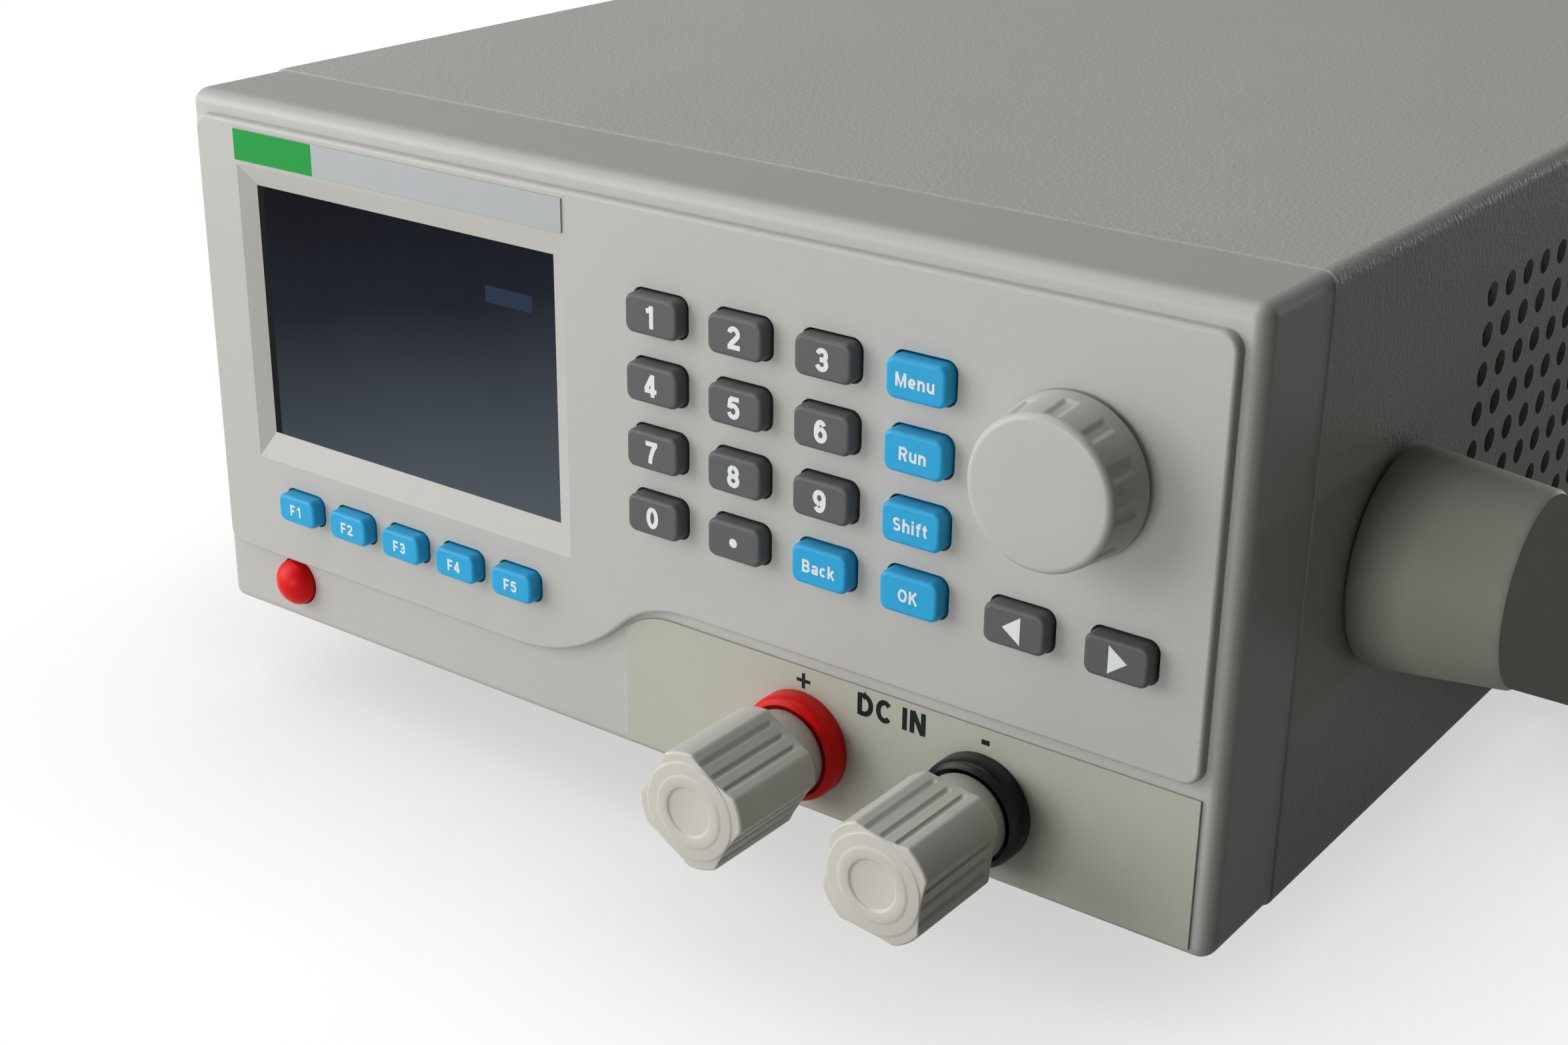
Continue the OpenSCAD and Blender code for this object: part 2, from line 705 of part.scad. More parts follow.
module power_switch() color([0.2, 0.2, 0.21]) {
  w = 2 * (power_z - bezel_t);
  difference() {
    from_y(rim_y + switch_front, rim_y + switch_front + switch_l) translate([power_cx, power_cz]) square(w, center = true);
    rod_y(plunger_d + 2 * run_gap, rim_y + switch_front - cut, rim_y + plunger_end + power_travel + 1, power_cx, power_cz);
  }
}

module front_pcb() color([0.1, 0.35, 0.2])
  from_y(pcb_y, pcb_y + board_t) translate([pcb_left, base_z + pcb_low])
    square([pcb_right - pcb_left, pcb_high - pcb_low]);

// Input terminals
module input_label() color([0.69, 0.695, 0.65]) from_y(rim_y - label_t, rim_y) {
  right = panel_right;
  left = right - label_w;
  top = base_z + panel_high - label_gap;
  low = base_z + label_z;
  bend = label_r * 0.675;
  difference() {
    intersection() {
      translate([left, low]) square([label_w, top - low]);
      union() {
        translate([left + bend, low]) square([label_w, top - low]);
        translate([left, low]) square([label_w, top - low - label_r]);
        translate([left + bend, top - label_r]) circle(label_r);
      }
    }
    for (x = posts) translate([x, base_z + post_z]) circle(d = spigot_d + 2 * sheet_gap);
  }
}

module collar(x) turned_y(x, rim_y, base_z + post_z) {
  r = collar_d / 2;
  lip_r = neck_d / 2 + 0.6;
  bore = stud_d / 2 + sheet_gap;
  polygon(concat(
    [[bore, -spigot_end], [spigot_d / 2, -spigot_end], [spigot_d / 2, label_t], [r, label_t]],
    arc([r - 1.5, collar_front - 1.8], 1.5, 0, 70, 6),
    [[lip_r, collar_front], [lip_r, collar_floor], [bore, collar_floor]]));
}

module collar_positive() color([0.78, 0.1, 0.1]) collar(posts[0]);
module collar_negative() color([0.12, 0.13, 0.13]) collar(posts[1]);

// Lobed grip with grooved flats, a smooth neck and a round, stepped end that stands out of the lobes
module cap_outline() difference() {
  circle(d = cap_d);
  for (a = [0:90:270]) rotate(a) translate([cap_flat / 2 + hollow_r, 0]) circle(hollow_r);
}

module cap(x, turn) {
  face = rim_y - cap_reach;
  back = rim_y - lobe_back;
  end_r = cap_flat / 2 - 0.1;
  ring_r = end_r - 2;
  disc_r = end_r / 2;
  step = 0.3;
  bevel = 0.8;
  difference() {
    union() {
      translate([x, 0, base_z + post_z]) rotate([0, -turn, 0]) difference() {
        intersection() {
          from_y(face, back) cap_outline();
          turned_y(0, rim_y, 0) polygon([[0, lobe_back], [cap_d / 2 - bevel, lobe_back], [cap_d / 2, lobe_back + bevel],
            [cap_d / 2, cap_reach - lobe_set - bevel], [cap_d / 2 - bevel, cap_reach - lobe_set], [end_r, cap_reach - lobe_set],
            [end_r, cap_reach - 2 * step], [end_r - step, cap_reach - step], [ring_r + step, cap_reach - step],
            [ring_r, cap_reach], [0, cap_reach]]);
        }
        for (a = [0:90:270], i = [-1:1]) rotate([0, a, 0])
          translate([cap_flat / 2 - groove_depth, face - cut, i * groove_pitch - groove_w / 2])
            cube([groove_depth + cut, cap_l + cut - 2, groove_w]);
      }
      rod_y(neck_d, back - cut, rim_y - neck_back, x, base_z + post_z);
    }
    rod_y(2 * disc_r, face - cut, face + step, x, base_z + post_z);
    rod_y(stud_d + 2 * run_gap, rim_y - stud_tip - 1, rim_y - neck_back + cut, x, base_z + post_z);
  }
}

module cap_positive() color([0.76, 0.755, 0.735]) cap(posts[0], cap_turn_positive);
module cap_negative() color([0.76, 0.755, 0.735]) cap(posts[1], cap_turn_negative);

module terminal_studs() color([0.8, 0.68, 0.4]) for (x = posts) {
  rod_y(stud_d, rim_y - stud_tip, rim_y + spigot_end + nut_l + 8, x, base_z + post_z);
  rod_y(stud_d + 5, rim_y - stud_shoulder, rim_y - collar_floor, x, base_z + post_z);
  translate([x, rim_y + spigot_end + nut_l, base_z + post_z]) rotate([90, 0, 0]) cylinder(d = 11, h = nut_l, $fn = 6);
}

// Case
screw_x = half_w - sheet_t - flange_w / 2;
screw_ys = [seam_y + lip_l + 12, (seam_y + rear_y) / 2, rear_in - 14];
rear_screw_xs = [-half_w + 20, fan_x - fan_w / 2 - 8, half_w - 11];
rear_screw_z = tray_z + tray_h / 2;
module flange_screw_places() {
  for (s = [-1, 1], y = screw_ys) translate([s * screw_x, y, base_z]) children();
}

module top_cover() color(cover_grey) difference() {
  from_y(seam_y, rear_y) translate([0, mid_z]) difference() {
    rounded_rect(case_w, case_h, corner_r);
    rounded_rect(case_w - 2 * sheet_t, case_h - 2 * sheet_t, corner_r - sheet_t);
    translate([0, -case_h / 2]) square([case_w - 2 * (sheet_t + flange_w), 4 * sheet_t], center = true);
  }
  for (c = [0:vent_cols - 1], r = [0:vent_rows - 1])
    rod_x(vent_d, -half_w - cut, half_w + cut, rim_y + vent_y + c * vent_pitch_y, base_z + case_h - vent_top - r * vent_pitch_z);
  rod_x(pivot_d + 2 * sheet_gap, -half_w - cut, half_w + cut, pivot_cy, pivot_cz);
  flange_screw_places() translate([0, 0, -cut]) cylinder(d = screw_hole_d, h = sheet_t + 2 * cut);
}

tray_front = seam_y + lip_l + 0.5;
board_left = -half_w + 14;
board_right = sink_left - 1.5;
board_front = tray_front + 12;
board_back = sink_back - 4;
board_boss_d = 6;
module board_boss_places() {
  for (p = [[board_left + 5, board_front + 5], [board_left + 5, board_front + board_l - 5],
      [board_right - 5, board_front + 5], [board_right - board_strip_w + 5, board_back - 5]])
    translate([p[0], p[1], 0]) children();
}

module chassis() color([0.7, 0.71, 0.72]) difference() {
  union() {
    from_y(tray_front, rear_in) intersection() {
      translate([0, tray_z + inner_h / 2]) difference() {
        rounded_rect(inner_w, inner_h, corner_r - sheet_t);
        translate([0, sheet_t]) rounded_rect(inner_w - 2 * sheet_t, inner_h, corner_r - sheet_t);
      }
      translate([-half_w, tray_z]) square([case_w, tray_h]);
    }
    from_y(rear_in - sheet_t, rear_in) difference() {
      translate([-inner_w / 2 + sheet_t * 0.75, tray_z + sheet_t / 2]) square([inner_w - sheet_t * 1.5, tray_h - sheet_t / 2]);
      translate([fan_x, fan_z]) square(fan_w + 2 * turn_gap, center = true);
    }
    board_boss_places() translate([0, 0, floor_z - sheet_t / 2]) cylinder(d = board_boss_d, h = board_lift + sheet_t / 2);
  }
  flange_screw_places() cylinder(d = screw_hole_d, h = 2 * sheet_t + cut);
  for (x = rear_screw_xs) rod_y(screw_hole_d, rear_in - sheet_t - cut, rear_in + cut, x, rear_screw_z);
}

module fan_screw_places() {
  for (x = [-1, 1], z = [-1, 1]) translate([fan_x + x * fan_pitch / 2, 0, fan_z + z * fan_pitch / 2]) children();
}

port_z = base_z + port_up;
inlet_z = base_z + inlet_up;
module rear_panel() color(cover_grey) difference() {
  from_y(rear_in, rear_y) translate([0, mid_z]) rounded_rect(inner_w, inner_h, corner_r - sheet_t);
  rod_y(fan_bore, rear_in - cut, rear_y + cut, fan_x, fan_z);
  fan_screw_places() rod_y(screw_hole_d, rear_in - cut, rear_y + cut, 0, 0);
  for (x = rear_screw_xs) rod_y(screw_hole_d, rear_in - cut, rear_y + cut, x, rear_screw_z);
  from_y(rear_in - cut, rear_y + cut) translate([-inlet_x, inlet_z])
    square([inlet_w - 2 * inlet_lip + 2 * sheet_gap, inlet_h - 3 * inlet_lip + 2 * sheet_gap], center = true);
  from_y(rear_in - cut, rear_y + cut) translate([-port_x, port_z])
    square([port_w + 4 * sheet_gap, port_h + 4 * sheet_gap], center = true);
}

// Pan-head screw with a cross recess, its head on the plane z = 0 and its shank below
module screw(head, l) difference() {
  union() {
    cylinder(d = head, h = head_h);
    translate([0, 0, -l]) cylinder(d = screw_d, h = l + head_h / 3);
  }
  translate([0, 0, head_h - recess_depth]) linear_extrude(recess_depth + cut) {
    square([recess_l, recess_w], center = true);
    square([recess_w, recess_l], center = true);
  }
}

module case_screws() color([0.72, 0.72, 0.74]) {
  flange_screw_places() rotate([180, 0, 0]) screw(head_d, 2 * sheet_t + 3);
  for (x = rear_screw_xs) translate([x, rear_y, rear_screw_z]) rotate([-90, 0, 0]) screw(head_d, rear_t + 6);
  fan_screw_places() translate([0, rear_y + wire_d + 0.4, 0]) rotate([-90, 0, 0])
    screw(head_d + 1, wire_d + 0.4 + rear_t + 8);
}

module feet() color([0.16, 0.16, 0.16])
  for (s = [-1, 1], y = [rim_y + foot_front, rear_y - foot_back])
    translate([s * (half_w - foot_inset_x), y, 0]) rotate_extrude()
      polygon([[0, 0], [foot_tip_d / 2 - 1, 0], [foot_tip_d / 2, 1], [foot_d / 2, tray_z], [0, tray_z]]);

// Handle
module hub() difference() {
  rod_x(hub_d, half_w, half_w + hub_l, pivot_cy, pivot_cz);
  rod_x(pivot_d + 2 * sheet_gap, half_w - cut, half_w + hub_l + cut, pivot_cy, pivot_cz);
}

module hub_right() color([0.3, 0.31, 0.31]) hub();
module hub_left() color([0.3, 0.31, 0.31]) mirror([1, 0, 0]) hub();

// Cup that turns on the hub, tapering to the outer face of the arm
module cup() translate([half_w, 0, 0]) rotate([0, 90, 0]) rotate_extrude() {
  r = cup_d / 2;
  tip_r = arm_w / 2 + 0.4;
  polygon(concat([[0, arm_reach], [0, turn_gap]],
    arc([r - cup_edge_r, turn_gap + cup_edge_r], cup_edge_r, -90, 0, 6),
    [[tip_r + 0.1, arm_reach - arm_edge], [tip_r - arm_edge / 2, arm_reach]]));
}

// Arm outline along +Y from the pivot, two rounds joined by their tangents
module arm_outline() {
  r0 = arm_w / 2;
  r1 = arm_end_w / 2;
  a = acos((r0 - r1) / handle_l);
  circle(r0);
  translate([handle_l, 0]) circle(r1);
  polygon([r0 * [cos(a), sin(a)], r0 * [cos(a), -sin(a)], [handle_l + r1 * cos(a), -r1 * sin(a)], [handle_l + r1 * cos(a), r1 * sin(a)]]);
}

module arm() translate([0, pivot_cy, pivot_cz]) rotate([-handle_rest, 0, 0]) difference() {
  union() {
    cup();
    from_x(half_w + arm_in, half_w + arm_reach) arm_outline();
  }
  rod_x(hub_d + 2 * turn_gap, half_w - cut, half_w + hub_l + turn_gap, 0, 0);
  rod_x(pivot_d + 2 * run_gap, half_w, half_w + bolt_tip + turn_gap, 0, 0);
  rod_x(spigot_grip_d + 2 * run_gap, half_w + arm_in - cut, half_w + arm_in + grip_spigot_l + turn_gap, handle_l, 0);
}

module arm_right() color(panel_grey) arm();
module arm_left() color(panel_grey) mirror([1, 0, 0]) arm();

module grip() color([0.2, 0.21, 0.21]) {
  reach = half_w + arm_in;
  rod_x(grip_d, -reach, reach, grip_y, grip_z);
  rod_x(spigot_grip_d, -reach - grip_spigot_l, reach + grip_spigot_l, grip_y, grip_z);
}

module pivot_bolts() color([0.7, 0.7, 0.72]) for (s = [0, 1]) mirror([s, 0, 0]) {
  wall = half_w - sheet_t;
  rod_x(pivot_d + 6, wall - bolt_head_l, wall, pivot_cy, pivot_cz);
  rod_x(pivot_d, wall - cut, half_w + bolt_tip, pivot_cy, pivot_cz);
}

// Inside
module main_pcb() color([0.1, 0.35, 0.2]) from_z(board_z, board_z + board_t) {
  strip_left = board_right - board_strip_w;
  main_back = board_front + board_l;
  polygon([[board_left, board_front], [board_right, board_front], [board_right, board_back],
    [strip_left, board_back], [strip_left, main_back], [board_left, main_back]]);
}

module heat_sink() color([0.75, 0.76, 0.77]) translate([sink_left, sink_back - sink_l, floor_z]) {
  cube([sink_w, sink_l, sink_base_t]);
  for (i = [0:fin_count - 1]) translate([i * fin_pitch, 0, 0]) cube([fin_t, sink_l, sink_h]);
}

module mosfets() color([0.12, 0.12, 0.13]) for (i = [0:3]) {
  x = sink_left - fet_t;
  y = sink_back - sink_l + 10 + i * (sink_l - 20 - fet_w) / 3;
  translate([x, y, fet_z]) cube([fet_t, fet_w, fet_h]);
  for (j = [-1:1]) translate([x + 2, y + fet_w / 2 + j * 5.4, board_z + board_t]) cylinder(d = 1, h = fet_z - board_z - board_t + 1);
}

module transformer() {
  y = board_front + board_l + 8;
  winding = core_w - 20;
  color([0.35, 0.33, 0.32]) translate([-inlet_x - core_w / 2, y, floor_z]) difference() {
    translate([0, (core_w - core_t) / 2, 0]) cube([core_w, core_t, core_w * 0.84]);
    for (x = [8, core_w - 16]) translate([x, -cut, 8]) cube([8, core_w + 2 * cut, core_w * 0.84 - 16]);
  }
  color([0.85, 0.7, 0.3]) translate([-inlet_x, y + core_w / 2, floor_z + core_w * 0.42]) difference() {
    cube([winding, core_w - 8, core_w * 0.84 - 18], center = true);
    cube([winding - 14, core_t, core_w * 0.84], center = true);
  }
}

module fan_frame() color([0.13, 0.13, 0.14]) difference() {
  union() {
    difference() {
      from_y(rear_in - fan_t, rear_in) translate([fan_x, fan_z]) rounded_rect(fan_w, fan_w, 4);
      rod_y(fan_bore, rear_in - fan_t - cut, rear_in + cut, fan_x, fan_z);
    }
    rod_y(rotor_hub_d, rear_in - fan_disc_t, rear_in, fan_x, fan_z);
    for (a = [45:90:315]) translate([fan_x, rear_in - fan_disc_t, fan_z]) rotate([0, a, 0])
      translate([rotor_hub_d / 2 - 2, 0.5, -2]) cube([(fan_bore - rotor_hub_d) / 2 + 4, fan_disc_t - 1, 4]);
    rod_y(fan_pin_d, rear_in - rotor_l, rear_in - fan_disc_t / 2, fan_x, fan_z);
  }
  fan_screw_places() rod_y(screw_hole_d, rear_in - fan_t - cut, rear_in + cut, 0, 0);
}

module fan_rotor() color([0.16, 0.16, 0.17]) {
  back = rear_in - fan_disc_t - 1;
  front = back - rotor_l;
  difference() {
    union() {
      rod_y(rotor_hub_d, front, back, fan_x, fan_z);
      intersection() {
        rod_y(fan_bore - 2, front, back, fan_x, fan_z);
        for (i = [0:blade_count - 1]) translate([fan_x, (front + back) / 2, fan_z]) rotate([0, i * 360 / blade_count, 0])
          translate([rotor_hub_d / 2 - 2, 0, 0]) rotate([38, 0, 0])
            translate([0, -fan_t / 2, -0.9]) cube([fan_bore / 2, fan_t, 1.8]);
      }
    }
    rod_y(fan_pin_d + 2 * run_gap, rear_in - rotor_l - 0.5, back + cut, fan_x, fan_z);
  }
}

module fan_guard() color([0.75, 0.75, 0.77]) difference() {
  union() {
    from_y(rear_y + 1, rear_y + 1 + wire_d) translate([fan_x, fan_z]) for (r = [12:9:fan_bore / 2]) difference() {
      circle(r + wire_d / 2);
      circle(r - wire_d / 2);
    }
    for (a = [45, 135]) translate([fan_x, rear_y + 1, fan_z]) rotate([0, a, 0])
      rotate([0, 90, 0]) cylinder(d = wire_d - 0.4, h = fan_pitch * sqrt(2) - 6, center = true);
    fan_screw_places() rod_y(8, rear_y, rear_y + wire_d + 0.4, 0, 0);
  }
  fan_screw_places() rod_y(screw_hole_d, rear_y - cut, rear_y + wire_d + cut, 0, 0);
}

inlet_face = rear_y + inlet_t;
socket_z = inlet_z + socket_up;
module mains_inlet() color([0.1, 0.1, 0.11]) {
  difference() {
    union() {
      from_y(rear_y, inlet_face) translate([-inlet_x, inlet_z]) rounded_rect(inlet_w, inlet_h, 1.5 * inlet_lip);
      from_y(rear_in - inlet_l, rear_y) translate([-inlet_x, inlet_z])
        square([inlet_w - 2 * inlet_lip, inlet_h - 3 * inlet_lip], center = true);
    }
    from_y(inlet_face - socket_d, inlet_face + cut) translate([-inlet_x, socket_z])
      rounded_rect(socket_w, socket_h, 1.5 * inlet_lip);
    from_y(inlet_face - drawer_depth, inlet_face + cut) translate([-inlet_x, inlet_z - drawer_down]) difference() {
      square([drawer_w, drawer_h], center = true);
      square([drawer_w - 2 * drawer_groove, drawer_h - 2 * drawer_groove], center = true);
    }
  }
  for (i = [-1:1]) from_y(inlet_face - socket_d - cut, inlet_face - pin_back)
    translate([i * pin_pitch - inlet_x, socket_z + (i == 0 ? pin_shift : -pin_shift)]) square([pin_w, pin_h], center = true);
}

module serial_port() color([0.62, 0.63, 0.65]) difference() {
  union() {
    from_y(rear_y, rear_y + port_plate_t) translate([-port_x, port_z]) rounded_rect(port_plate_w, port_plate_h, port_r * 0.6);
    from_y(rear_in - port_l, rear_y + port_reach) translate([-port_x, port_z]) rounded_rect(port_w, port_h, port_r);
    for (s = [-1, 1]) translate([s * port_post_pitch / 2 - port_x, rear_y + port_plate_t / 2 + port_post_l, port_z])
      rotate([90, 0, 0]) cylinder(d = port_post_d, h = port_post_l, $fn = 6);
  }
  from_y(rear_y + port_plate_t, rear_y + port_reach + cut) translate([-port_x, port_z])
    rounded_rect(port_w - 2 * port_wall, port_h - 2 * port_wall, port_r - port_wall);
}

front_bezel();
title_strip();
lcd_window();
lcd_module();
for (k = KEYS) key(k);
knob();
encoder_shaft();
encoder_body();
power_button();
power_switch();
front_pcb();
input_label();
collar_positive();
collar_negative();
cap_positive();
cap_negative();
terminal_studs();
top_cover();
chassis();
rear_panel();
case_screws();
feet();
hub_right();
hub_left();
arm_right();
arm_left();
grip();
pivot_bolts();
main_pcb();
mosfets();
heat_sink();
transformer();
fan_frame();
fan_rotor();
fan_guard();
mains_inlet();
serial_port();
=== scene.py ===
import json
import math
import bmesh
import bpy
from mathutils import Matrix, Vector

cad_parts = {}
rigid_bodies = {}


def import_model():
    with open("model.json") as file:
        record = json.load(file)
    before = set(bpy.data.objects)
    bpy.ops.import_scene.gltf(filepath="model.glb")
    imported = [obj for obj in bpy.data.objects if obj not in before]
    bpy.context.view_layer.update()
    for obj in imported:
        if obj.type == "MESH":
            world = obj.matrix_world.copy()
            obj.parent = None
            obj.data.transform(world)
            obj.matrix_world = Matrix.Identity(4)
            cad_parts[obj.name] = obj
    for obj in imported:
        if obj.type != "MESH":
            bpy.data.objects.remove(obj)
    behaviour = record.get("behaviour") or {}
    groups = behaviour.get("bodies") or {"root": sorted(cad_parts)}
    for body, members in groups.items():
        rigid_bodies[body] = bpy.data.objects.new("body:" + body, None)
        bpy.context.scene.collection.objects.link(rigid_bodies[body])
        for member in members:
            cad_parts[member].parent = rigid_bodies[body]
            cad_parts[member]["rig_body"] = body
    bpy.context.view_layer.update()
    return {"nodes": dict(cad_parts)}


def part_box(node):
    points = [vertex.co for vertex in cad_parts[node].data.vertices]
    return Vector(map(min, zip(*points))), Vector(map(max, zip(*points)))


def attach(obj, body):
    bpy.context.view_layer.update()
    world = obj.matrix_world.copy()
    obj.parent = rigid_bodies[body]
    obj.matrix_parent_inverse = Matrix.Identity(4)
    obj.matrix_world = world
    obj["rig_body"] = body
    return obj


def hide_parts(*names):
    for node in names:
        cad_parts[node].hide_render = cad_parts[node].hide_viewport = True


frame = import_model()
nodes = frame["nodes"]
mm = 0.001
rimY = -152.75      # front rim plane, in mm as in the part's source
baseZ = 18.0        # underside of the case
print("frame loaded:", len(nodes), "nodes")


# View, lamps and backdrop

cameraView = {
    "place": (0.2333, -0.42835, 0.2141),
    "right": (0.8010, 0.5986, 0.0107),
    "up": (-0.2392, 0.3036, 0.9223),
    "lens": 52.88,
}

lampSet = {
    "key": {"place": (-0.94, -0.86, 0.42), "aim": (-0.02, -0.12, 0.07),
            "size": 1.0, "power": 12.6, "colour": (1.0, 0.99, 0.975)},
    "fill": {"place": (-0.07, -1.06, 0.09), "aim": (0.05, -0.15, 0.05),
             "size": 0.2, "power": 2.2, "colour": (1.0, 0.99, 0.975)},
    "top": {"place": (-0.5, -0.22, 1.35), "aim": (0.0, -0.05, 0.1),
            "size": 1.0, "power": 8.0, "colour": (0.98, 0.99, 1.0)},
    "rear": {"place": (-0.12, 1.2, 0.062), "aim": (0.0, 0.18, 0.062),
             "size": 1.0, "tall": 0.11, "power": 8.5, "colour": (1.0, 0.99, 0.98)},
}

surroundings = {
    "mirrored": 0.4,
    "dim": (0.015, 0.0165, 0.015, 1),
    "white": (1, 1, 1, 1),
    "floorHalf": 4,
    "floorRough": 0.9,
    "lean": (-0.35, -0.94, 0),
    "leanReach": (0.1, 0.2),
    "floorDark": (0.04, 0.042, 0.038, 1),
    "floorLight": (0.8, 0.8, 0.78, 1),
    "shadow": (0.55, 0.55, 0.54, 1),
    "shadowReach": 0.07,
}


def makeCamera(view):
    data = bpy.data.cameras.new("viewCamera")
    data.lens = view["lens"]
    data.sensor_width = 36
    data.clip_start = 0.01
    cam = bpy.data.objects.new("viewCamera", data)
    bpy.context.scene.collection.objects.link(cam)
    right = Vector(view["right"]).normalized()
    back = right.cross(Vector(view["up"])).normalized()
    up = back.cross(right)
    turn = Matrix((right, up, back)).transposed().to_4x4()
    cam.matrix_world = Matrix.Translation(view["place"]) @ turn
    bpy.context.scene.camera = cam


def makeLamp(name, spec):
    data = bpy.data.lights.new(name + "Lamp", "AREA")
    data.shape = "RECTANGLE"
    data.size = spec["size"]
    data.size_y = spec.get("tall", spec["size"])
    data.energy = spec["power"]
    data.color = spec["colour"]
    lamp = bpy.data.objects.new(name + "Lamp", data)
    bpy.context.scene.collection.objects.link(lamp)
    place = Vector(spec["place"])
    turn = (Vector(spec["aim"]) - place).to_track_quat("-Z", "Y")
    lamp.matrix_world = Matrix.Translation(place) @ turn.to_matrix().to_4x4()


def seenMask(tree, mirrored):
    # one for camera rays, and a share for the glossy and transmission rays that show the backdrop
    path = tree.nodes.new("ShaderNodeLightPath")
    total = path.outputs["Is Camera Ray"]
    for other in ("Is Glossy Ray", "Is Transmission Ray"):
        both = tree.nodes.new("ShaderNodeMath")
        both.operation = "MULTIPLY_ADD"
        both.use_clamp = True
        both.inputs[1].default_value = mirrored
        tree.links.new(path.outputs[other], both.inputs[0])
        tree.links.new(total, both.inputs[2])
        total = both.outputs[0]
    return total


def mixColours(tree, factor, first, second):
    node = tree.nodes.new("ShaderNodeMix")
    node.data_type = "RGBA"
    node.inputs[6].default_value = first
    node.inputs[7].default_value = second
    tree.links.new(factor, node.inputs[0])
    return node.outputs[2]


def makeWorld(form):
    world = bpy.data.worlds.new("studio")
    bpy.context.scene.world = world
    world.use_nodes = True
    tree = world.node_tree
    tint = mixColours(tree, seenMask(tree, form["mirrored"]), form["dim"], form["white"])
    tree.links.new(tint, tree.nodes["Background"].inputs["Color"])


def makeFloorPaint(form):
    paint = bpy.data.materials.new("floorPaint")
    paint.use_nodes = True
    tree = paint.node_tree
    shader = tree.nodes["Principled BSDF"]
    shader.inputs["Roughness"].default_value = form["floorRough"]
    # the floor throws light back in front of the object to the left, and little beside it
    place = tree.nodes.new("ShaderNodeTexCoord")
    lean = tree.nodes.new("ShaderNodeVectorMath")
    lean.operation = "DOT_PRODUCT"
    lean.inputs[1].default_value = form["lean"]
    tree.links.new(place.outputs["Object"], lean.inputs[0])
    reach = tree.nodes.new("ShaderNodeMapRange")
    reach.interpolation_type = "SMOOTHSTEP"
    for socket, value in zip(("From Min", "From Max", "To Min", "To Max"), (*form["leanReach"], 0, 1)):
        reach.inputs[socket].default_value = value
    tree.links.new(lean.outputs["Value"], reach.inputs["Value"])
    tint = mixColours(tree, reach.outputs[0], form["floorDark"], form["floorLight"])
    tree.links.new(tint, shader.inputs["Base Color"])
    # white to the camera, with a soft shadow close to the object
    near = tree.nodes.new("ShaderNodeAmbientOcclusion")
    near.samples = 8
    near.inputs["Distance"].default_value = form["shadowReach"]
    glow = tree.nodes.new("ShaderNodeEmission")
    tree.links.new(mixColours(tree, near.outputs["AO"], form["shadow"], form["white"]), glow.inputs["Color"])
    mix = tree.nodes.new("ShaderNodeMixShader")
    tree.links.new(seenMask(tree, form["mirrored"]), mix.inputs[0])
    tree.links.new(shader.outputs[0], mix.inputs[1])
    tree.links.new(glow.outputs[0], mix.inputs[2])
    tree.links.new(mix.outputs[0], tree.nodes["Material Output"].inputs["Surface"])
    return paint


def makeFloor(form):
    mesh = bpy.data.meshes.new("floor")
    bm = bmesh.new()
    bmesh.ops.create_grid(bm, x_segments=1, y_segments=1, size=form["floorHalf"])
    bm.to_mesh(mesh)
    bm.free()
    mesh.materials.append(makeFloorPaint(form))
    floor = bpy.data.objects.new("floor", mesh)
    bpy.context.scene.collection.objects.link(floor)


makeCamera(cameraView)
for lampName, lampSpec in lampSet.items():
    makeLamp(lampName, lampSpec)
makeWorld(surroundings)
makeFloor(surroundings)
bpy.context.scene.view_settings.view_transform = "Standard"
print("camera, lamps and backdrop set")


# Shader maths and finishes

class Val:
    def __init__(self, tree, socket):
        self.tree = tree
        self.socket = socket

    def combine(self, operation, first, second):
        node = self.tree.nodes.new("ShaderNodeMath")
        node.operation = operation
        for index, value in enumerate((first, second)):
            if isinstance(value, Val):
                self.tree.links.new(value.socket, node.inputs[index])
            else:
                node.inputs[index].default_value = value
        return Val(self.tree, node.outputs[0])

    def __add__(self, other):
        return self.combine("ADD", self, other)

    def __radd__(self, other):
        return self.combine("ADD", other, self)

    def __sub__(self, other):
        return self.combine("SUBTRACT", self, other)

    def __rsub__(self, other):
        return self.combine("SUBTRACT", other, self)

    def __mul__(self, other):
        return self.combine("MULTIPLY", self, other)

    def __rmul__(self, other):
        return self.combine("MULTIPLY", other, self)

    def __lt__(self, other):
        return self.combine("LESS_THAN", self, other)


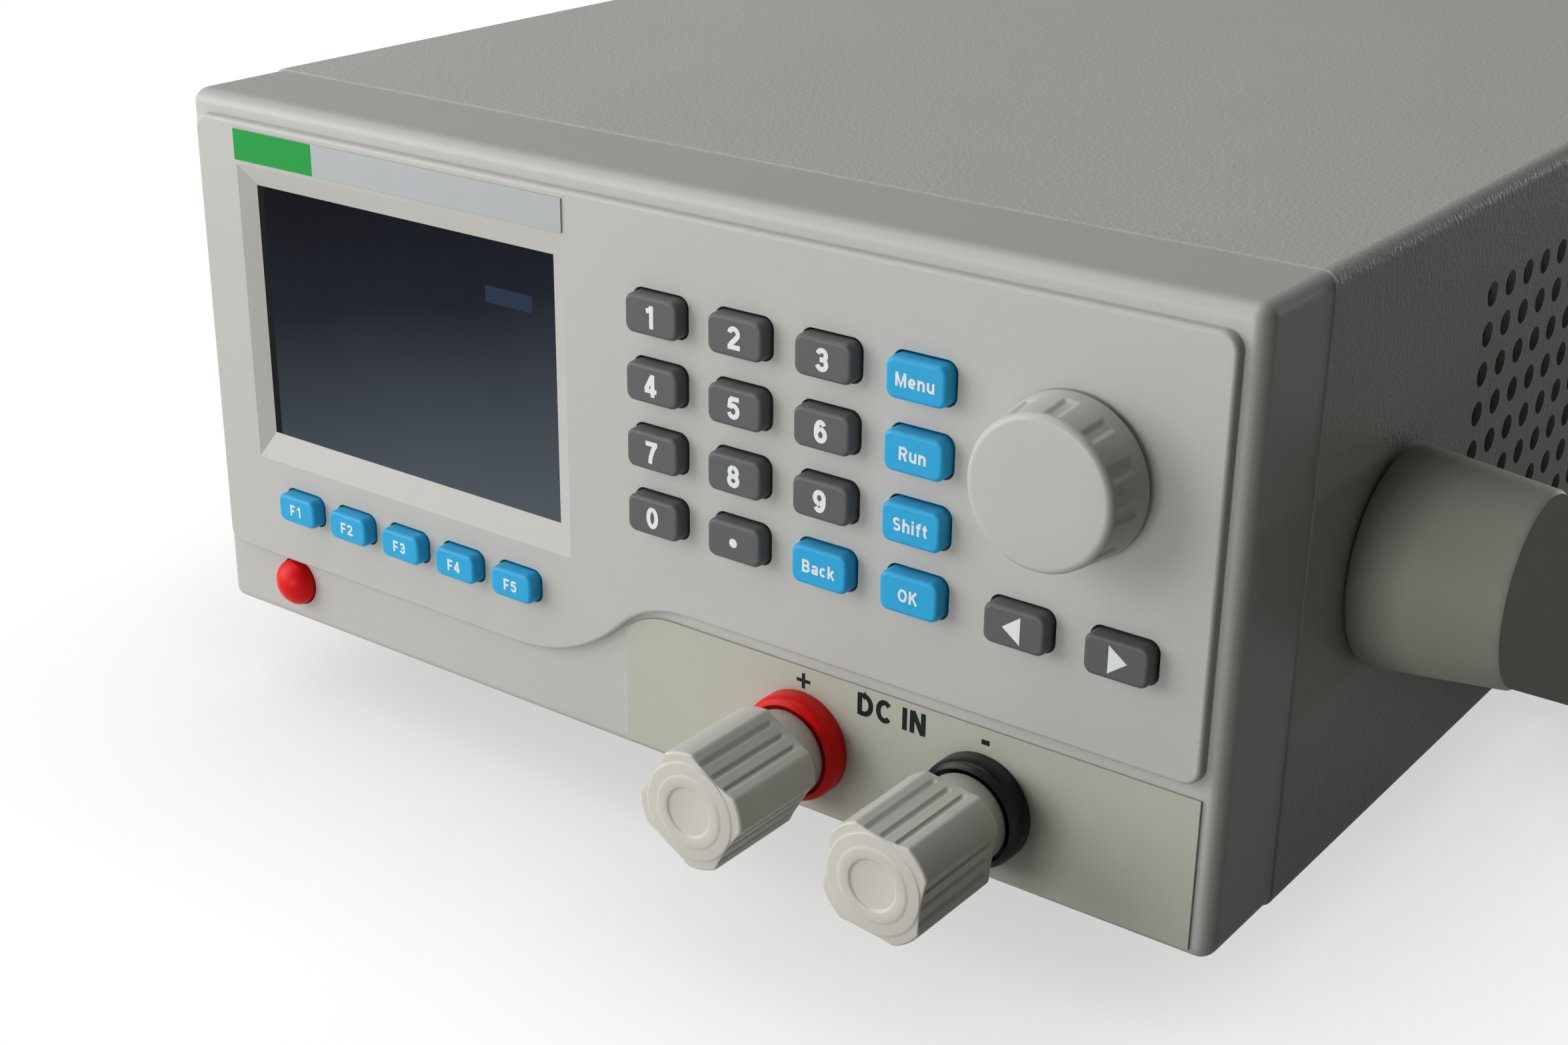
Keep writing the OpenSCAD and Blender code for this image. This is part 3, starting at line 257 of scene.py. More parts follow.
class Finish:
    def __init__(self, name, colour, roughness, extra=None):
        self.material = bpy.data.materials.new(name)
        self.material.use_nodes = True
        self.tree = self.material.node_tree
        self.shader = self.tree.nodes["Principled BSDF"]
        self.give("Base Color", (*colour, 1))
        self.give("Roughness", roughness)
        for socket, value in (extra or {}).items():
            self.give(socket, value)
        self.place = self.add("ShaderNodeTexCoord", out="Object")

    def give(self, socket, value):
        if isinstance(value, Val):
            self.tree.links.new(value.socket, self.shader.inputs[socket])
        else:
            self.shader.inputs[socket].default_value = value

    def add(self, kind, settings=None, sockets=None, out=0):
        node = self.tree.nodes.new(kind)
        for key, value in (settings or {}).items():
            if key == "stops":
                ramp = node.color_ramp.elements
                while len(ramp) < len(value):
                    ramp.new(0.5)
                for stop, (position, shade) in zip(ramp, value):
                    stop.position = position
                    stop.color = shade
            else:
                setattr(node, key, value)
        for key, value in (sockets or {}).items():
            if isinstance(value, Val):
                self.tree.links.new(value.socket, node.inputs[key])
            else:
                node.inputs[key].default_value = value
        return Val(self.tree, node.outputs[out])

    def noise(self, scale, detail=2.0, roughness=0.5):
        sockets = {"Vector": self.place, "Scale": scale, "Detail": detail, "Roughness": roughness}
        return self.add("ShaderNodeTexNoise", {}, sockets)

    def blendColour(self, factor, first, second):
        return self.add("ShaderNodeMix", {"data_type": "RGBA"}, {0: factor, 6: first, 7: second}, out=2)

    def bump(self, height, distance, strength):
        sockets = {"Strength": strength, "Distance": distance, "Height": height}
        self.give("Normal", self.add("ShaderNodeBump", {}, sockets))


def linear(r, g, b):
    def one(c):
        c = c / 255
        return c / 12.92 if c <= 0.04045 else ((c + 0.055) / 1.055) ** 2.4
    return (one(r), one(g), one(b))


plasticForm = {"cloud": (38, 0.965, 1.035), "swing": 0.1, "swingScale": 420, "grainRough": 0.6, "bump": 0.6}
coatForm = {"specular": 0.3, "cloud": (24, 0.96, 1.04), "least": 0.42, "swing": 0.16, "cells": 1500, "lumps": 900,
            "cellShare": 0.5, "lumpShare": 0.8, "height": 0.00016, "bump": 0.75}
metalForm = {"cloud": (60, 0.9, 1.05), "swing": 0.14, "lines": 900.0}


def shade(colour, k):
    return (*[min(1, c * k) for c in colour], 1)


def cloud(f, colour, scale, least, most):
    # a slow drift between two shades of the colour
    f.give("Base Color", f.blendColour(f.noise(scale, 3), shade(colour, least), shade(colour, most)))


def plastic(name, colour, roughness, grain=0.00002, grainScale=2600, extra=None):
    f = Finish(name, colour, roughness, extra)
    cloud(f, colour, *plasticForm["cloud"])
    swing = plasticForm["swing"]
    f.give("Roughness", roughness - swing / 2 + swing * f.noise(plasticForm["swingScale"], 2))
    f.bump(f.noise(grainScale, 3, plasticForm["grainRough"]), grain, plasticForm["bump"])
    return f


def powderCoat(name, colour):
    f = Finish(name, colour, 0.5, {"Specular IOR Level": coatForm["specular"]})
    sockets = {"Vector": f.place, "Scale": coatForm["cells"], "Smoothness": 0.7, "Randomness": 1.0}
    cells = f.add("ShaderNodeTexVoronoi", {"feature": "SMOOTH_F1"}, sockets)
    lumps = f.noise(coatForm["lumps"], 2.5, 0.55)
    cloud(f, colour, *coatForm["cloud"])
    f.give("Roughness", coatForm["least"] + coatForm["swing"] * f.noise(coatForm["lumps"], 2))
    f.bump(lumps * coatForm["lumpShare"] - cells * coatForm["cellShare"], coatForm["height"], coatForm["bump"])
    return f


def metal(name, colour, roughness, streak=(1, 1, 1)):
    f = Finish(name, colour, roughness, {"Metallic": 1.0})
    along = f.add("ShaderNodeMapping", {}, {"Vector": f.place, "Scale": streak})
    lines = f.add("ShaderNodeTexNoise", {}, {"Vector": along, "Scale": metalForm["lines"], "Detail": 3.0})
    f.give("Roughness", roughness - metalForm["swing"] / 2 + metalForm["swing"] * lines)
    cloud(f, colour, *metalForm["cloud"])
    return f


bezelFinish = plastic("mouldedBezel", linear(185, 184, 180), 0.46)
knobFinish = plastic("mouldedKnob", linear(187, 185, 180), 0.42)
capFinish = plastic("mouldedCap", linear(198, 196, 188), 0.38, 0.00001)
armFinish = plastic("mouldedArm", linear(172, 174, 162), 0.56, 0.00003, 2200, {"Specular IOR Level": 0.25})
greyKeyFinish = plastic("keyGrey", linear(84, 86, 87), 0.46, 0.000012, 3200, {"Specular IOR Level": 0.4})
blueKeyFinish = plastic("keyBlue", linear(32, 164, 218), 0.42, 0.000012, 3200, {"Specular IOR Level": 0.3})
redFinish = plastic("redPlastic", linear(222, 7, 8), 0.4, 0.000008, 2600, {"Specular IOR Level": 0.18})
blackFinish = plastic("blackPlastic", linear(34, 37, 37), 0.42, 0.000012)
collarBlackFinish = plastic("collarBlack", linear(11, 12, 12), 0.34, 0.000008, 2600, {"Specular IOR Level": 0.25})
labelFinish = plastic("labelFilm", linear(180, 181, 168), 0.4, 0.000008, 1800)
coverFinish = powderCoat("powderCoat", linear(193, 196, 188))
rearFinish = powderCoat("rearCoat", linear(168, 169, 163))
rubberFinish = plastic("footRubber", linear(38, 38, 38), 0.75, 0.00003, 1500)
gripFinish = plastic("gripRubber", linear(52, 53, 53), 0.6, 0.00004, 1300)
steelFinish = metal("platedSteel", linear(196, 196, 200), 0.32)
zincFinish = metal("zincSheet", linear(176, 178, 180), 0.42, (1, 12, 1))
brassFinish = metal("brass", linear(208, 170, 98), 0.3)
boardFinish = plastic("solderMask", linear(26, 88, 50), 0.4, 0.00003, 700)
sinkFinish = metal("sinkAluminium", linear(186, 188, 190), 0.4, (1, 10, 1))
darkPrint = Finish("darkPrint", linear(12, 30, 28), 0.5, {"Specular IOR Level": 0.2})
whitePrint = Finish("whitePrint", linear(226, 230, 232), 0.5)
greenFinish = plastic("greenPrint", linear(22, 152, 62), 0.42, 0.000006, 1800, {"Specular IOR Level": 0.15})
stripFinish = plastic("stripFilm", linear(176, 180, 183), 0.34, 0.000006, 1800, {"Specular IOR Level": 0.35})
print("finishes made:", len(bpy.data.materials))


# Shared tools for meshes

bodyOf = {n: o["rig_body"] for n, o in nodes.items()}


def newPiece(name, bm, finish, body, node=None, sharp=35):
    mesh = bpy.data.meshes.new(name)
    bm.to_mesh(mesh)
    bm.free()
    for face in mesh.polygons:
        face.use_smooth = True
    mesh.set_sharp_from_angle(angle=math.radians(sharp))
    mesh.materials.append(finish.material)
    piece = bpy.data.objects.new(name, mesh)
    bpy.context.scene.collection.objects.link(piece)
    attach(piece, body)
    if node:
        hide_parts(node)
    return piece


flatLimit = 0.4     # degrees between facets that count as one face
cornerLimit = 40    # degrees at an edge that gets rounded
printLift = 0.02    # mm between a face and the print on it


def cadMesh(node):
    bm = bmesh.new()
    bm.from_mesh(nodes[node].data)
    bmesh.ops.remove_doubles(bm, verts=bm.verts[:], dist=2e-6)
    bmesh.ops.dissolve_limit(bm, angle_limit=math.radians(flatLimit), verts=bm.verts[:], edges=bm.edges[:],
                             delimit={"NORMAL"})
    return bm


def weldMesh(bm):
    bmesh.ops.remove_doubles(bm, verts=bm.verts[:], dist=1e-6)
    bmesh.ops.recalc_face_normals(bm, faces=bm.faces[:])


def bevelEdges(bm, edges, width, segments=3):
    bmesh.ops.bevel(bm, geom=edges, offset=width, offset_type="OFFSET", segments=segments, profile=0.5,
                    affect="EDGES", clamp_overlap=True, material=-1)


def cornerEdges(bm):
    limit = math.radians(cornerLimit)
    return [e for e in bm.edges if len(e.link_faces) == 2 and e.calc_face_angle(0) > limit and e.is_convex]


def alongY(edges):
    return [e for e in edges if abs((e.verts[0].co - e.verts[1].co).normalized().y) > 0.9]


def evenShading(piece, weight=50):
    mod = piece.modifiers.new("evenShading", "WEIGHTED_NORMAL")
    mod.keep_sharp = True
    mod.weight = weight


def dressNode(node, finish, width=0.0, segments=2):
    # the node's own mesh with its corners rounded, width in mm
    bm = cadMesh(node)
    if width:
        bevelEdges(bm, cornerEdges(bm), width * mm, segments)
    evenShading(newPiece(node + "Skin", bm, finish, bodyOf[node], node), 80)


def paintNode(node, finish):
    mesh = nodes[node].data
    mesh.materials.clear()
    mesh.materials.append(finish.material)


def addBlock(bm, x, y0, y1, z, wide, tall):
    made = bmesh.ops.create_cube(bm, size=1)["verts"]
    bmesh.ops.scale(bm, verts=made, vec=(wide * mm, (y1 - y0) * mm, tall * mm))
    bmesh.ops.translate(bm, verts=made, vec=(x * mm, (y0 + y1) / 2 * mm, z * mm))
    return list({e for v in made for e in v.link_edges})


def spunMesh(points, centre, steps):
    # points are (radius, distance in front of the rim), turned about an axis along Y
    x, z = centre[0] * mm, centre[1] * mm
    bm = bmesh.new()
    line = [bm.verts.new((x + r * mm, (rimY - y) * mm, z)) for r, y in points]
    edges = [bm.edges.new(pair) for pair in zip(line, line[1:])]
    bmesh.ops.spin(bm, geom=line + edges, cent=(x, 0, z), axis=(0, 1, 0),
                   angle=2 * math.pi, steps=steps, use_merge=True)
    weldMesh(bm)
    return bm


def bow(cx, cz, rx, rz, start, end, count=14):
    turns = [math.radians(start + (end - start) * i / count) for i in range(count + 1)]
    return [(cx + rx * math.cos(t), cz + rz * math.sin(t)) for t in turns]


def arcPoints(centre, radius, start, end, count):
    return bow(*centre, radius, radius, start, end, count)


def offsets(r, y, steps):
    return [(r + a, y + b) for a, b in steps]


def softStep(t):
    t = min(1, max(0, t))
    return t * t * (3 - 2 * t)


# Keys and their legends

keyForm = {"face": rimY - 4.45, "back": rimY + 2.85, "cornerR": 1.6, "edgeR": 0.75, "wide": 10.9, "tall": 6.7,
           "softWide": 9.8, "softTall": 5.6, "letterTall": 2.2, "pointR": 0.8}
arrowForm = {"tip": 1.95, "foot": -1.2, "half": 2.3}
keyWords = {"key_menu": "Menu", "key_run": "Run", "key_shift": "Shift", "key_ok": "OK", "key_back": "Back",
            "soft_key_1": "F1", "soft_key_2": "F2", "soft_key_3": "F3", "soft_key_4": "F4", "soft_key_5": "F5"}
keyNodes = [n for n in nodes if n.startswith("key_") or n.startswith("soft_key_")]


def keyCentre(node):
    low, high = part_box(node)
    return (low.x + high.x) / 2 / mm, (low.z + high.z) / 2 / mm


def makeKey(node):
    soft = node.startswith("soft")
    x, z = keyCentre(node)
    wide = keyForm["softWide" if soft else "wide"]
    tall = keyForm["softTall" if soft else "tall"]
    bm = bmesh.new()
    addBlock(bm, x, keyForm["face"], keyForm["back"], z, wide, tall)
    bevelEdges(bm, alongY(bm.edges), keyForm["cornerR"] * mm, 7)
    front = keyForm["face"] * mm + 1e-6
    bevelEdges(bm, [e for e in bm.edges if all(v.co.y < front for v in e.verts)], keyForm["edgeR"] * mm, 5)
    finish = blueKeyFinish if node in keyWords else greyKeyFinish
    evenShading(newPiece(node + "Cap", bm, finish, bodyOf[node], node, 50))


# Legends drawn as strokes: digits in mm from the middle of the key, letters in shares of their cap height

digitForm = {"stroke": 0.82, "size": 0.91, "wide": 0.93, "tall": 1.66, "end": 2.12}
strokeLift = 0.006


def digitStrokes(digit, form):
    w, h, end = form["wide"], form["tall"], form["end"]
    six = [bow(0, -0.62, w, 1.04, 90, 450, 26), bow(0.02, 0, w + 0.02, h, 42, 190, 18)]
    return {
        "0": [bow(0, 0, w, h, 90, 450, 30)],
        "1": [[(0.3, -end), (0.3, end)], [(-0.86, 1.08), (-0.3, 1.2), (0.1, 1.5)]],
        "2": [bow(0, 0.74, w, h - 0.74, 172, -28) + [(0.2, -0.35), (-0.5, -1.0), (-0.86, -h)],
              [(-1.3, -h), (1.38, -h)]],
        "3": [bow(0, 0.82, w - 0.1, h - 0.82, 168, -84), bow(0, -0.78, w, h - 0.78, 84, -168),
              [(-0.42, 0.03), (0.1, 0.03)]],
        "4": [[(0.42, -end), (0.42, end)], [(-1.38, -0.98), (1.36, -0.98)], [(-1.12, -0.86), (0.34, 1.86)]],
        "5": [[(-0.78, h), (1.2, h)], [(-0.66, h), (-0.86, -0.1)], bow(-0.03, -0.6, w + 0.02, h - 0.6, 142, -165)],
        "6": six,
        "7": [[(-1.36, h), (1.36, h)], [(0.98, h), (0.3, 0.5), (-0.18, -0.9), (-0.32, -end)]],
        "8": [bow(0, 0.83, w - 0.12, h - 0.83, 90, 450, 24), bow(0, -0.78, w, h - 0.78, 90, 450, 26)],
        "9": [[(-x, -z) for x, z in stroke] for stroke in six],
    }[digit]


def addStroke(bm, points, width, centre, lift):
    # a flat ribbon along the points, mitred at its bends
    rails = []
    for i, (x, z) in enumerate(points):
        before = Vector(points[max(i - 1, 0)])
        after = Vector(points[min(i + 1, len(points) - 1)])
        here = Vector((x, z))
        first = (here - before).normalized() if i else (after - here).normalized()
        second = (after - here).normalized() if i < len(points) - 1 else first
        along = (first + second).normalized()
        side = Vector((-along.y, along.x)) * (width / 2 / max(0.5, along.dot(first)))
        rails.append([bm.verts.new(((centre[0] + p.x) * mm, (centre[1] - lift) * mm, (centre[2] + p.y) * mm))
                      for p in (here + side, here - side)])
    for one, two in zip(rails, rails[1:]):
        bm.faces.new((one[0], one[1], two[1], two[0]))


def letterStrokes(letter):
    # width of the letter and its strokes
    stem = [(0.095, 0), (0.095, 1)]
    arch = bow(0.305, 0.44, 0.21, 0.205, 180, 0) + [(0.515, 0)]
    if letter.isdigit():
        k = 0.236
        return 0.66, [[(0.33 + x * k, 0.5 + z * k) for x, z in stroke] for stroke in digitStrokes(letter, digitForm)]
    return {
        "B": (0.68, [stem,
                     [(0.095, 0.905), (0.38, 0.905)] + bow(0.38, 0.71, 0.185, 0.195, 90, -90) + [(0.095, 0.515)],
                     [(0.38, 0.515)] + bow(0.39, 0.305, 0.21, 0.21, 90, -90) + [(0.095, 0.095)]]),
        "C": (0.74, [bow(0.39, 0.5, 0.295, 0.405, 42, 318, 22)]),
        "D": (0.74, [stem, [(0.095, 0.905), (0.3, 0.905)] + bow(0.3, 0.5, 0.34, 0.405, 90, -90) + [(0.095, 0.095)]]),
        "F": (0.6, [stem, [(0.095, 0.905), (0.6, 0.905)], [(0.095, 0.47), (0.53, 0.47)]]),
        "I": (0.19, [stem]),
        "K": (0.7, [stem, [(0.13, 0.38), (0.6, 1)], [(0.28, 0.58), (0.64, 0)]]),
        "M": (0.9, [stem, [(0.805, 0), (0.805, 1)], [(0.12, 1), (0.45, 0.05), (0.78, 1)]]),
        "N": (0.72, [stem, [(0.625, 0), (0.625, 1)], [(0.12, 0.98), (0.6, 0.02)]]),
        "O": (0.78, [bow(0.39, 0.5, 0.295, 0.405, 90, 450, 26)]),
        "R": (0.7, [stem,
                    [(0.095, 0.905), (0.4, 0.905)] + bow(0.4, 0.69, 0.2, 0.215, 90, -90) + [(0.095, 0.475)],
                    [(0.38, 0.475), (0.6, 0)]]),
        "S": (0.66, [bow(0.33, 0.7, 0.22, 0.205, 28, 270) + bow(0.33, 0.29, 0.235, 0.205, 90, -152)[1:]]),
        "a": (0.58, [bow(0.3, 0.48, 0.19, 0.165, 165, 0) + [(0.49, 0)], bow(0.29, 0.225, 0.195, 0.13, 90, 450)]),
        "c": (0.56, [bow(0.3, 0.37, 0.21, 0.275, 45, 315)]),
        "e": (0.6, [bow(0.31, 0.37, 0.215, 0.275, 0, 318, 18), [(0.1, 0.36), (0.52, 0.36)]]),
        "f": (0.4, [[(0.2, 0)] + bow(0.37, 0.74, 0.17, 0.165, 180, 90) + [(0.42, 0.905)],
                    [(0.02, 0.66), (0.4, 0.66)]]),
        "h": (0.61, [stem, arch]),
        "i": (0.19, [[(0.095, 0), (0.095, 0.74)], [(0.095, 0.84), (0.095, 1.02)]]),
        "k": (0.58, [stem, [(0.12, 0.26), (0.5, 0.74)], [(0.25, 0.44), (0.54, 0)]]),
        "n": (0.61, [[(0.095, 0), (0.095, 0.74)], arch]),
        "t": (0.4, [[(0.2, 0.93)] + bow(0.34, 0.225, 0.14, 0.13, 180, 280), [(0.02, 0.66), (0.4, 0.66)]]),
        "u": (0.61, [[(0.095, 0.74)] + bow(0.305, 0.3, 0.21, 0.205, 180, 360), [(0.515, 0), (0.515, 0.74)]]),
        "+": (0.7, [[(0, 0.5), (0.7, 0.5)], [(0.35, 0.15), (0.35, 0.85)]]),
        "-": (0.4, [[(0, 0.5), (0.4, 0.5)]]),
        " ": (0.2, []),
    }[letter]


def addStrokes(bm, strokes, width, centre):
    # each stroke lies a little over the one before, so that none fight where they cross
    for i, stroke in enumerate(strokes):
        addStroke(bm, stroke, width, centre, printLift + strokeLift * i)


def printWord(name, word, tall, centre, finish, body, weight=0.19, gap=0.15):
    # a line of letters about its middle point, on a face that looks to the front
    letters = [letterStrokes(c) for c in word]
    at = -(sum(w for w, strokes in letters) + gap * (len(word) - 1)) / 2
    bm = bmesh.new()
    for width, strokes in letters:
        placed = [[((at + x) * tall, (z - 0.5) * tall) for x, z in stroke] for stroke in strokes]
        addStrokes(bm, placed, weight * tall, centre)
        at += width + gap
    newPiece(name, bm, finish, body)


def printDigit(node, digit):
    x, z = keyCentre(node)
    size = digitForm["size"]
    bm = bmesh.new()
    placed = [[(a * size, b * size) for a, b in stroke] for stroke in digitStrokes(digit, digitForm)]
    addStrokes(bm, placed, digitForm["stroke"], (x, keyForm["face"], z))
    newPiece(node + "Legend", bm, whitePrint, bodyOf[node])


def makeArrow(node, way):
    # a triangle that points to one side, a little off the middle toward its point
    x, z = keyCentre(node)
    y = (keyForm["face"] - printLift) * mm
    tip, foot, half = arrowForm["tip"], arrowForm["foot"], arrowForm["half"]
    bm = bmesh.new()
    corners = [(way * tip, 0), (way * foot, half), (way * foot, -half)]
    bm.faces.new([bm.verts.new(((x + a) * mm, y, (z + b) * mm)) for a, b in corners])
    newPiece(node + "Arrow", bm, whitePrint, bodyOf[node])


def makePoint(node):
    x, z = keyCentre(node)
    bm = bmesh.new()
    bmesh.ops.create_circle(bm, cap_ends=True, segments=24, radius=keyForm["pointR"] * mm)
    bmesh.ops.rotate(bm, verts=bm.verts[:], cent=(0, 0, 0), matrix=Matrix.Rotation(math.radians(90), 3, "X"))
    bmesh.ops.translate(bm, verts=bm.verts[:], vec=(x * mm, (keyForm["face"] - printLift) * mm, z * mm))
    newPiece(node + "Dot", bm, whitePrint, bodyOf[node])


for node in keyNodes:
    makeKey(node)
    x, z = keyCentre(node)
    if node[4:].isdigit():
        printDigit(node, node[4:])
    elif node in keyWords:
        printWord(node + "Legend", keyWords[node], keyForm["letterTall"], (x, keyForm["face"], z),
                  whitePrint, bodyOf[node])
makeArrow("key_left", -1)
makeArrow("key_right", 1)
makePoint("key_point")
print("keys made:", len(keyNodes))


# Knob

knobForm = {"x": 82.4, "z": baseZ + 74.3, "footR": 13.0, "faceR": 12.1, "front": 11.95, "back": 2.45, "edgeR": 1.2,
            "wall": 2, "footEdge": 0.3, "rows": 30, "steps": 336, "notches": 12, "firstNotch": 85.5, "notchHalf": 1.4,
            "notchFrom": 1.0, "notchTo": 6.9, "notchDepth": 0.42, "notchSoft": 0.9, "margin": 0.4}


def makeKnob(form):
    foot, tip, front, back, edge = form["footR"], form["faceR"], form["front"], form["back"], form["edgeR"]
    start = back + form["footEdge"]
    reach = front - edge - start
    points = [(foot - form["wall"], back), (foot - form["footEdge"], back), (foot, start)]
    for i in range(1, form["rows"]):
        share = i / form["rows"]
        points.append((foot + (tip - foot) * share, start + reach * share))
    points += arcPoints((tip - edge, front - edge), edge, 0, 90, 6)
    points += [(tip / 2, front), (0, front)]
    bm = spunMesh(points, (form["x"], form["z"]), form["steps"])
    pitch = 360 / form["notches"]
    for v in bm.verts:
        dx, dz = v.co.x / mm - form["x"], v.co.z / mm - form["z"]
        away = math.hypot(dx, dz)
        behind = front - (rimY - v.co.y / mm)
        if away < tip - form["margin"] or behind < form["margin"]:
            continue
        angle = math.degrees(math.atan2(dz, dx)) - form["firstNotch"] + pitch / 2
        across = math.radians((angle % pitch) - pitch / 2) * away
        # a slot with square ends and soft sides
        inside = min(form["notchHalf"] - abs(across), behind - form["notchFrom"], form["notchTo"] - behind)
        k = (away - form["notchDepth"] * softStep(inside / form["notchSoft"])) / away
        v.co.x = (form["x"] + dx * k) * mm
        v.co.z = (form["z"] + dz * k) * mm
    newPiece("knobGrip", bm, knobFinish, "dial", "knob", 50)


makeKnob(knobForm)
print("knob made")


# Binding posts

postZ = baseZ + 14.2
capForm = {"lobeR": 10.15, "flatR": 8.5, "hollowR": 30.0, "meet": 0.3, "endR": 8.4, "ringR": 6.15, "discR": 4.2,
           "front": 30.5, "step": 0.18, "lobeSet": 0.42, "lobeBack": 9.8, "backEdge": 0.9, "tipEdge": 0.5, "rows": 36,
           "neckBack": 4.5, "neckR": 7.5, "neckEdge": 0.4, "steps": 336, "margin": 0.65, "grooves": (-2.8, 0, 2.8),
           "grooveHalf": 0.42, "grooveDepth": 0.5, "grooveSoft": 0.3, "grooveFrom": 11.8, "grooveTo": 29.3}
# soft steps on the end of a cap, from the lobes in to the disc, as offsets in radius and forward
capSteps = {"lobe": ((0.4, 0.03), (0.14, 0.07), (0.02, 0.13)), "shelf": ((-0.1, -0.04), (-0.3, 0)),
            "ringFoot": ((0.4, 0), (0.18, 0.04)), "ringTop": ((-0.02, -0.04), (-0.25, 0)),
            "disc": ((0.3, 0), (0.08, -0.08), (-0.08, -0.3), (-0.3, -0.36))}
collarForm = {"front": 5.0, "back": -3.5, "boreR": 3.2, "stemR": 5.9, "seat": 0.5, "outR": 9.4, "chamfer": 0.15,
              "edgeR": 1.5, "edgeBack": 1.8, "lipR": 8.1, "pocket": 1.6}
postPlaces = {"positive": (33.7, 59.0, redFinish), "negative": (68.8, 83.0, collarBlackFinish)}


def capOutline(form, turn):
    # radius at an angle from the middle of the nearest flat, softened where flat and lobe meet
    t = math.radians(turn)
    far = form["flatR"] + form["hollowR"]
    inside = form["hollowR"] ** 2 - (far * math.sin(t)) ** 2
    flat = far * math.cos(t) - math.sqrt(inside) if inside > 0 else 99
    h = min(1, max(0, 0.5 + 0.5 * (form["lobeR"] - flat) / form["meet"]))
    return form["lobeR"] + (flat - form["lobeR"]) * h - form["meet"] * h * (1 - h)


def capProfile(form):
    front, back, lobe, endR = form["front"], form["lobeBack"], form["lobeR"], form["endR"]
    neck, neckBack, neckEdge = form["neckR"], form["neckBack"], form["neckEdge"]
    edge, tip = form["backEdge"], form["tipEdge"]
    shelf = front - form["step"]
    lobeEnd = front - form["lobeSet"]
    points = [(0, neckBack), (neck - neckEdge, neckBack), (neck, neckBack + neckEdge), (neck + 0.1, back - 0.1)]
    points += [(endR + 0.05, back), (lobe - edge, back)] + arcPoints((lobe - edge, back + edge), edge, -75, 0, 5)
    start, end = back + edge + 0.3, lobeEnd - tip - 0.1
    points += [(lobe, start + (end - start) * i / form["rows"]) for i in range(form["rows"] + 1)]
    # the end of the lobes runs up to the round end in a soft step
    points += arcPoints((lobe - tip, lobeEnd - tip), tip, 8, 84, 6)
    points += offsets(endR, lobeEnd, capSteps["lobe"]) + offsets(endR, shelf, capSteps["shelf"])
    points += offsets(form["ringR"], shelf, capSteps["ringFoot"]) + offsets(form["ringR"], front, capSteps["ringTop"])
    points += offsets(form["discR"], front, capSteps["disc"])
    return points + [(0, points[-1][1])]


def grooveCut(form, across, forward):
    past = max(form["grooveFrom"] + form["grooveHalf"] - forward, forward - form["grooveTo"], 0)
    gap = min(math.hypot(across - groove, past) for groove in form["grooves"])
    return form["grooveDepth"] * softStep((form["grooveHalf"] - gap) / form["grooveSoft"] + 0.5)


def makeCap(name, x, turn, form):
    lobe, endR, flatR = form["lobeR"], form["endR"], form["flatR"]
    bm = spunMesh(capProfile(form), (x, postZ), form["steps"])
    for v in bm.verts:
        dx, dz = v.co.x / mm - x, v.co.z / mm - postZ
        away = math.hypot(dx, dz)
        forward = rimY - v.co.y / mm
        if away < flatR - form["margin"] or forward < form["lobeBack"] - 0.05:
            continue
        angle = (math.degrees(math.atan2(dz, dx)) - turn + 45) % 90 - 45
        # the lobed skin runs from the round end out to the outline
        radius = endR + (away - endR) * (capOutline(form, angle) - endR) / (lobe - endR) if away > endR else away
        cut = grooveCut(form, radius * math.sin(math.radians(angle)), forward)
        k = min(radius, max(flatR - form["grooveDepth"], radius - cut)) / away
        v.co.x = (x + dx * k) * mm
        v.co.z = (postZ + dz * k) * mm
    newPiece(name, bm, capFinish, "post_cap_" + name[3:].lower(), "cap_" + name[3:].lower(), 60)


def makeCollar(name, x, finish, form):
    front, back, bore, seat, out = form["front"], form["back"], form["boreR"], form["seat"], form["outR"]
    points = [(bore, back), (form["stemR"], back), (form["stemR"], seat)]
    points += [(out - form["chamfer"], seat), (out, seat + form["chamfer"])]
    points += arcPoints((out - form["edgeR"], front - form["edgeBack"]), form["edgeR"], 0, 70, 7)
    points += offsets(form["lipR"], front, ((0.1, -0.08), (0, -0.2), (0, -form["pocket"])))
    points += [(bore, front - form["pocket"]), (bore, back)]
    bm = spunMesh(points, (x, postZ), 96)
    newPiece("collar" + name.capitalize() + "Ring", bm, finish, "case", "collar_" + name, 50)


for side, (x, turn, finish) in postPlaces.items():
    makeCap("cap" + side.capitalize(), x, turn, capForm)
    makeCollar(side, x, finish, collarForm)
print("binding posts made")


# Power button

buttonForm = {"x": -89.4, "z": baseZ + 9.3, "r": 4.5, "reach": 4.0, "rise": 2.5, "edge": 0.15, "edgeTurn": 4,
              "lip": 1.1, "lipBack": -3.8, "lipFront": -2.8}


def makeButton(form):
    r, rise = form["r"], form["rise"]
    dome = (r * r + rise * rise) / (2 * rise)
    half = math.degrees(math.asin(r / dome))
    points = [(r + form["lip"], form["lipBack"]), (r + form["lip"], form["lipFront"]), (r, form["lipFront"])]
    points += [(r, form["reach"] - rise - form["edge"])]
    points += arcPoints((0, form["reach"] - dome), dome, 90 - half + form["edgeTurn"], 90, 14)
    bm = spunMesh(points, (form["x"], form["z"]), 72)
    newPiece("powerDome", bm, redFinish, "power", "power_button", 60)


makeButton(buttonForm)
print("power button made")


# Front bezel from its solid, with a rim that runs smoothly round the corners

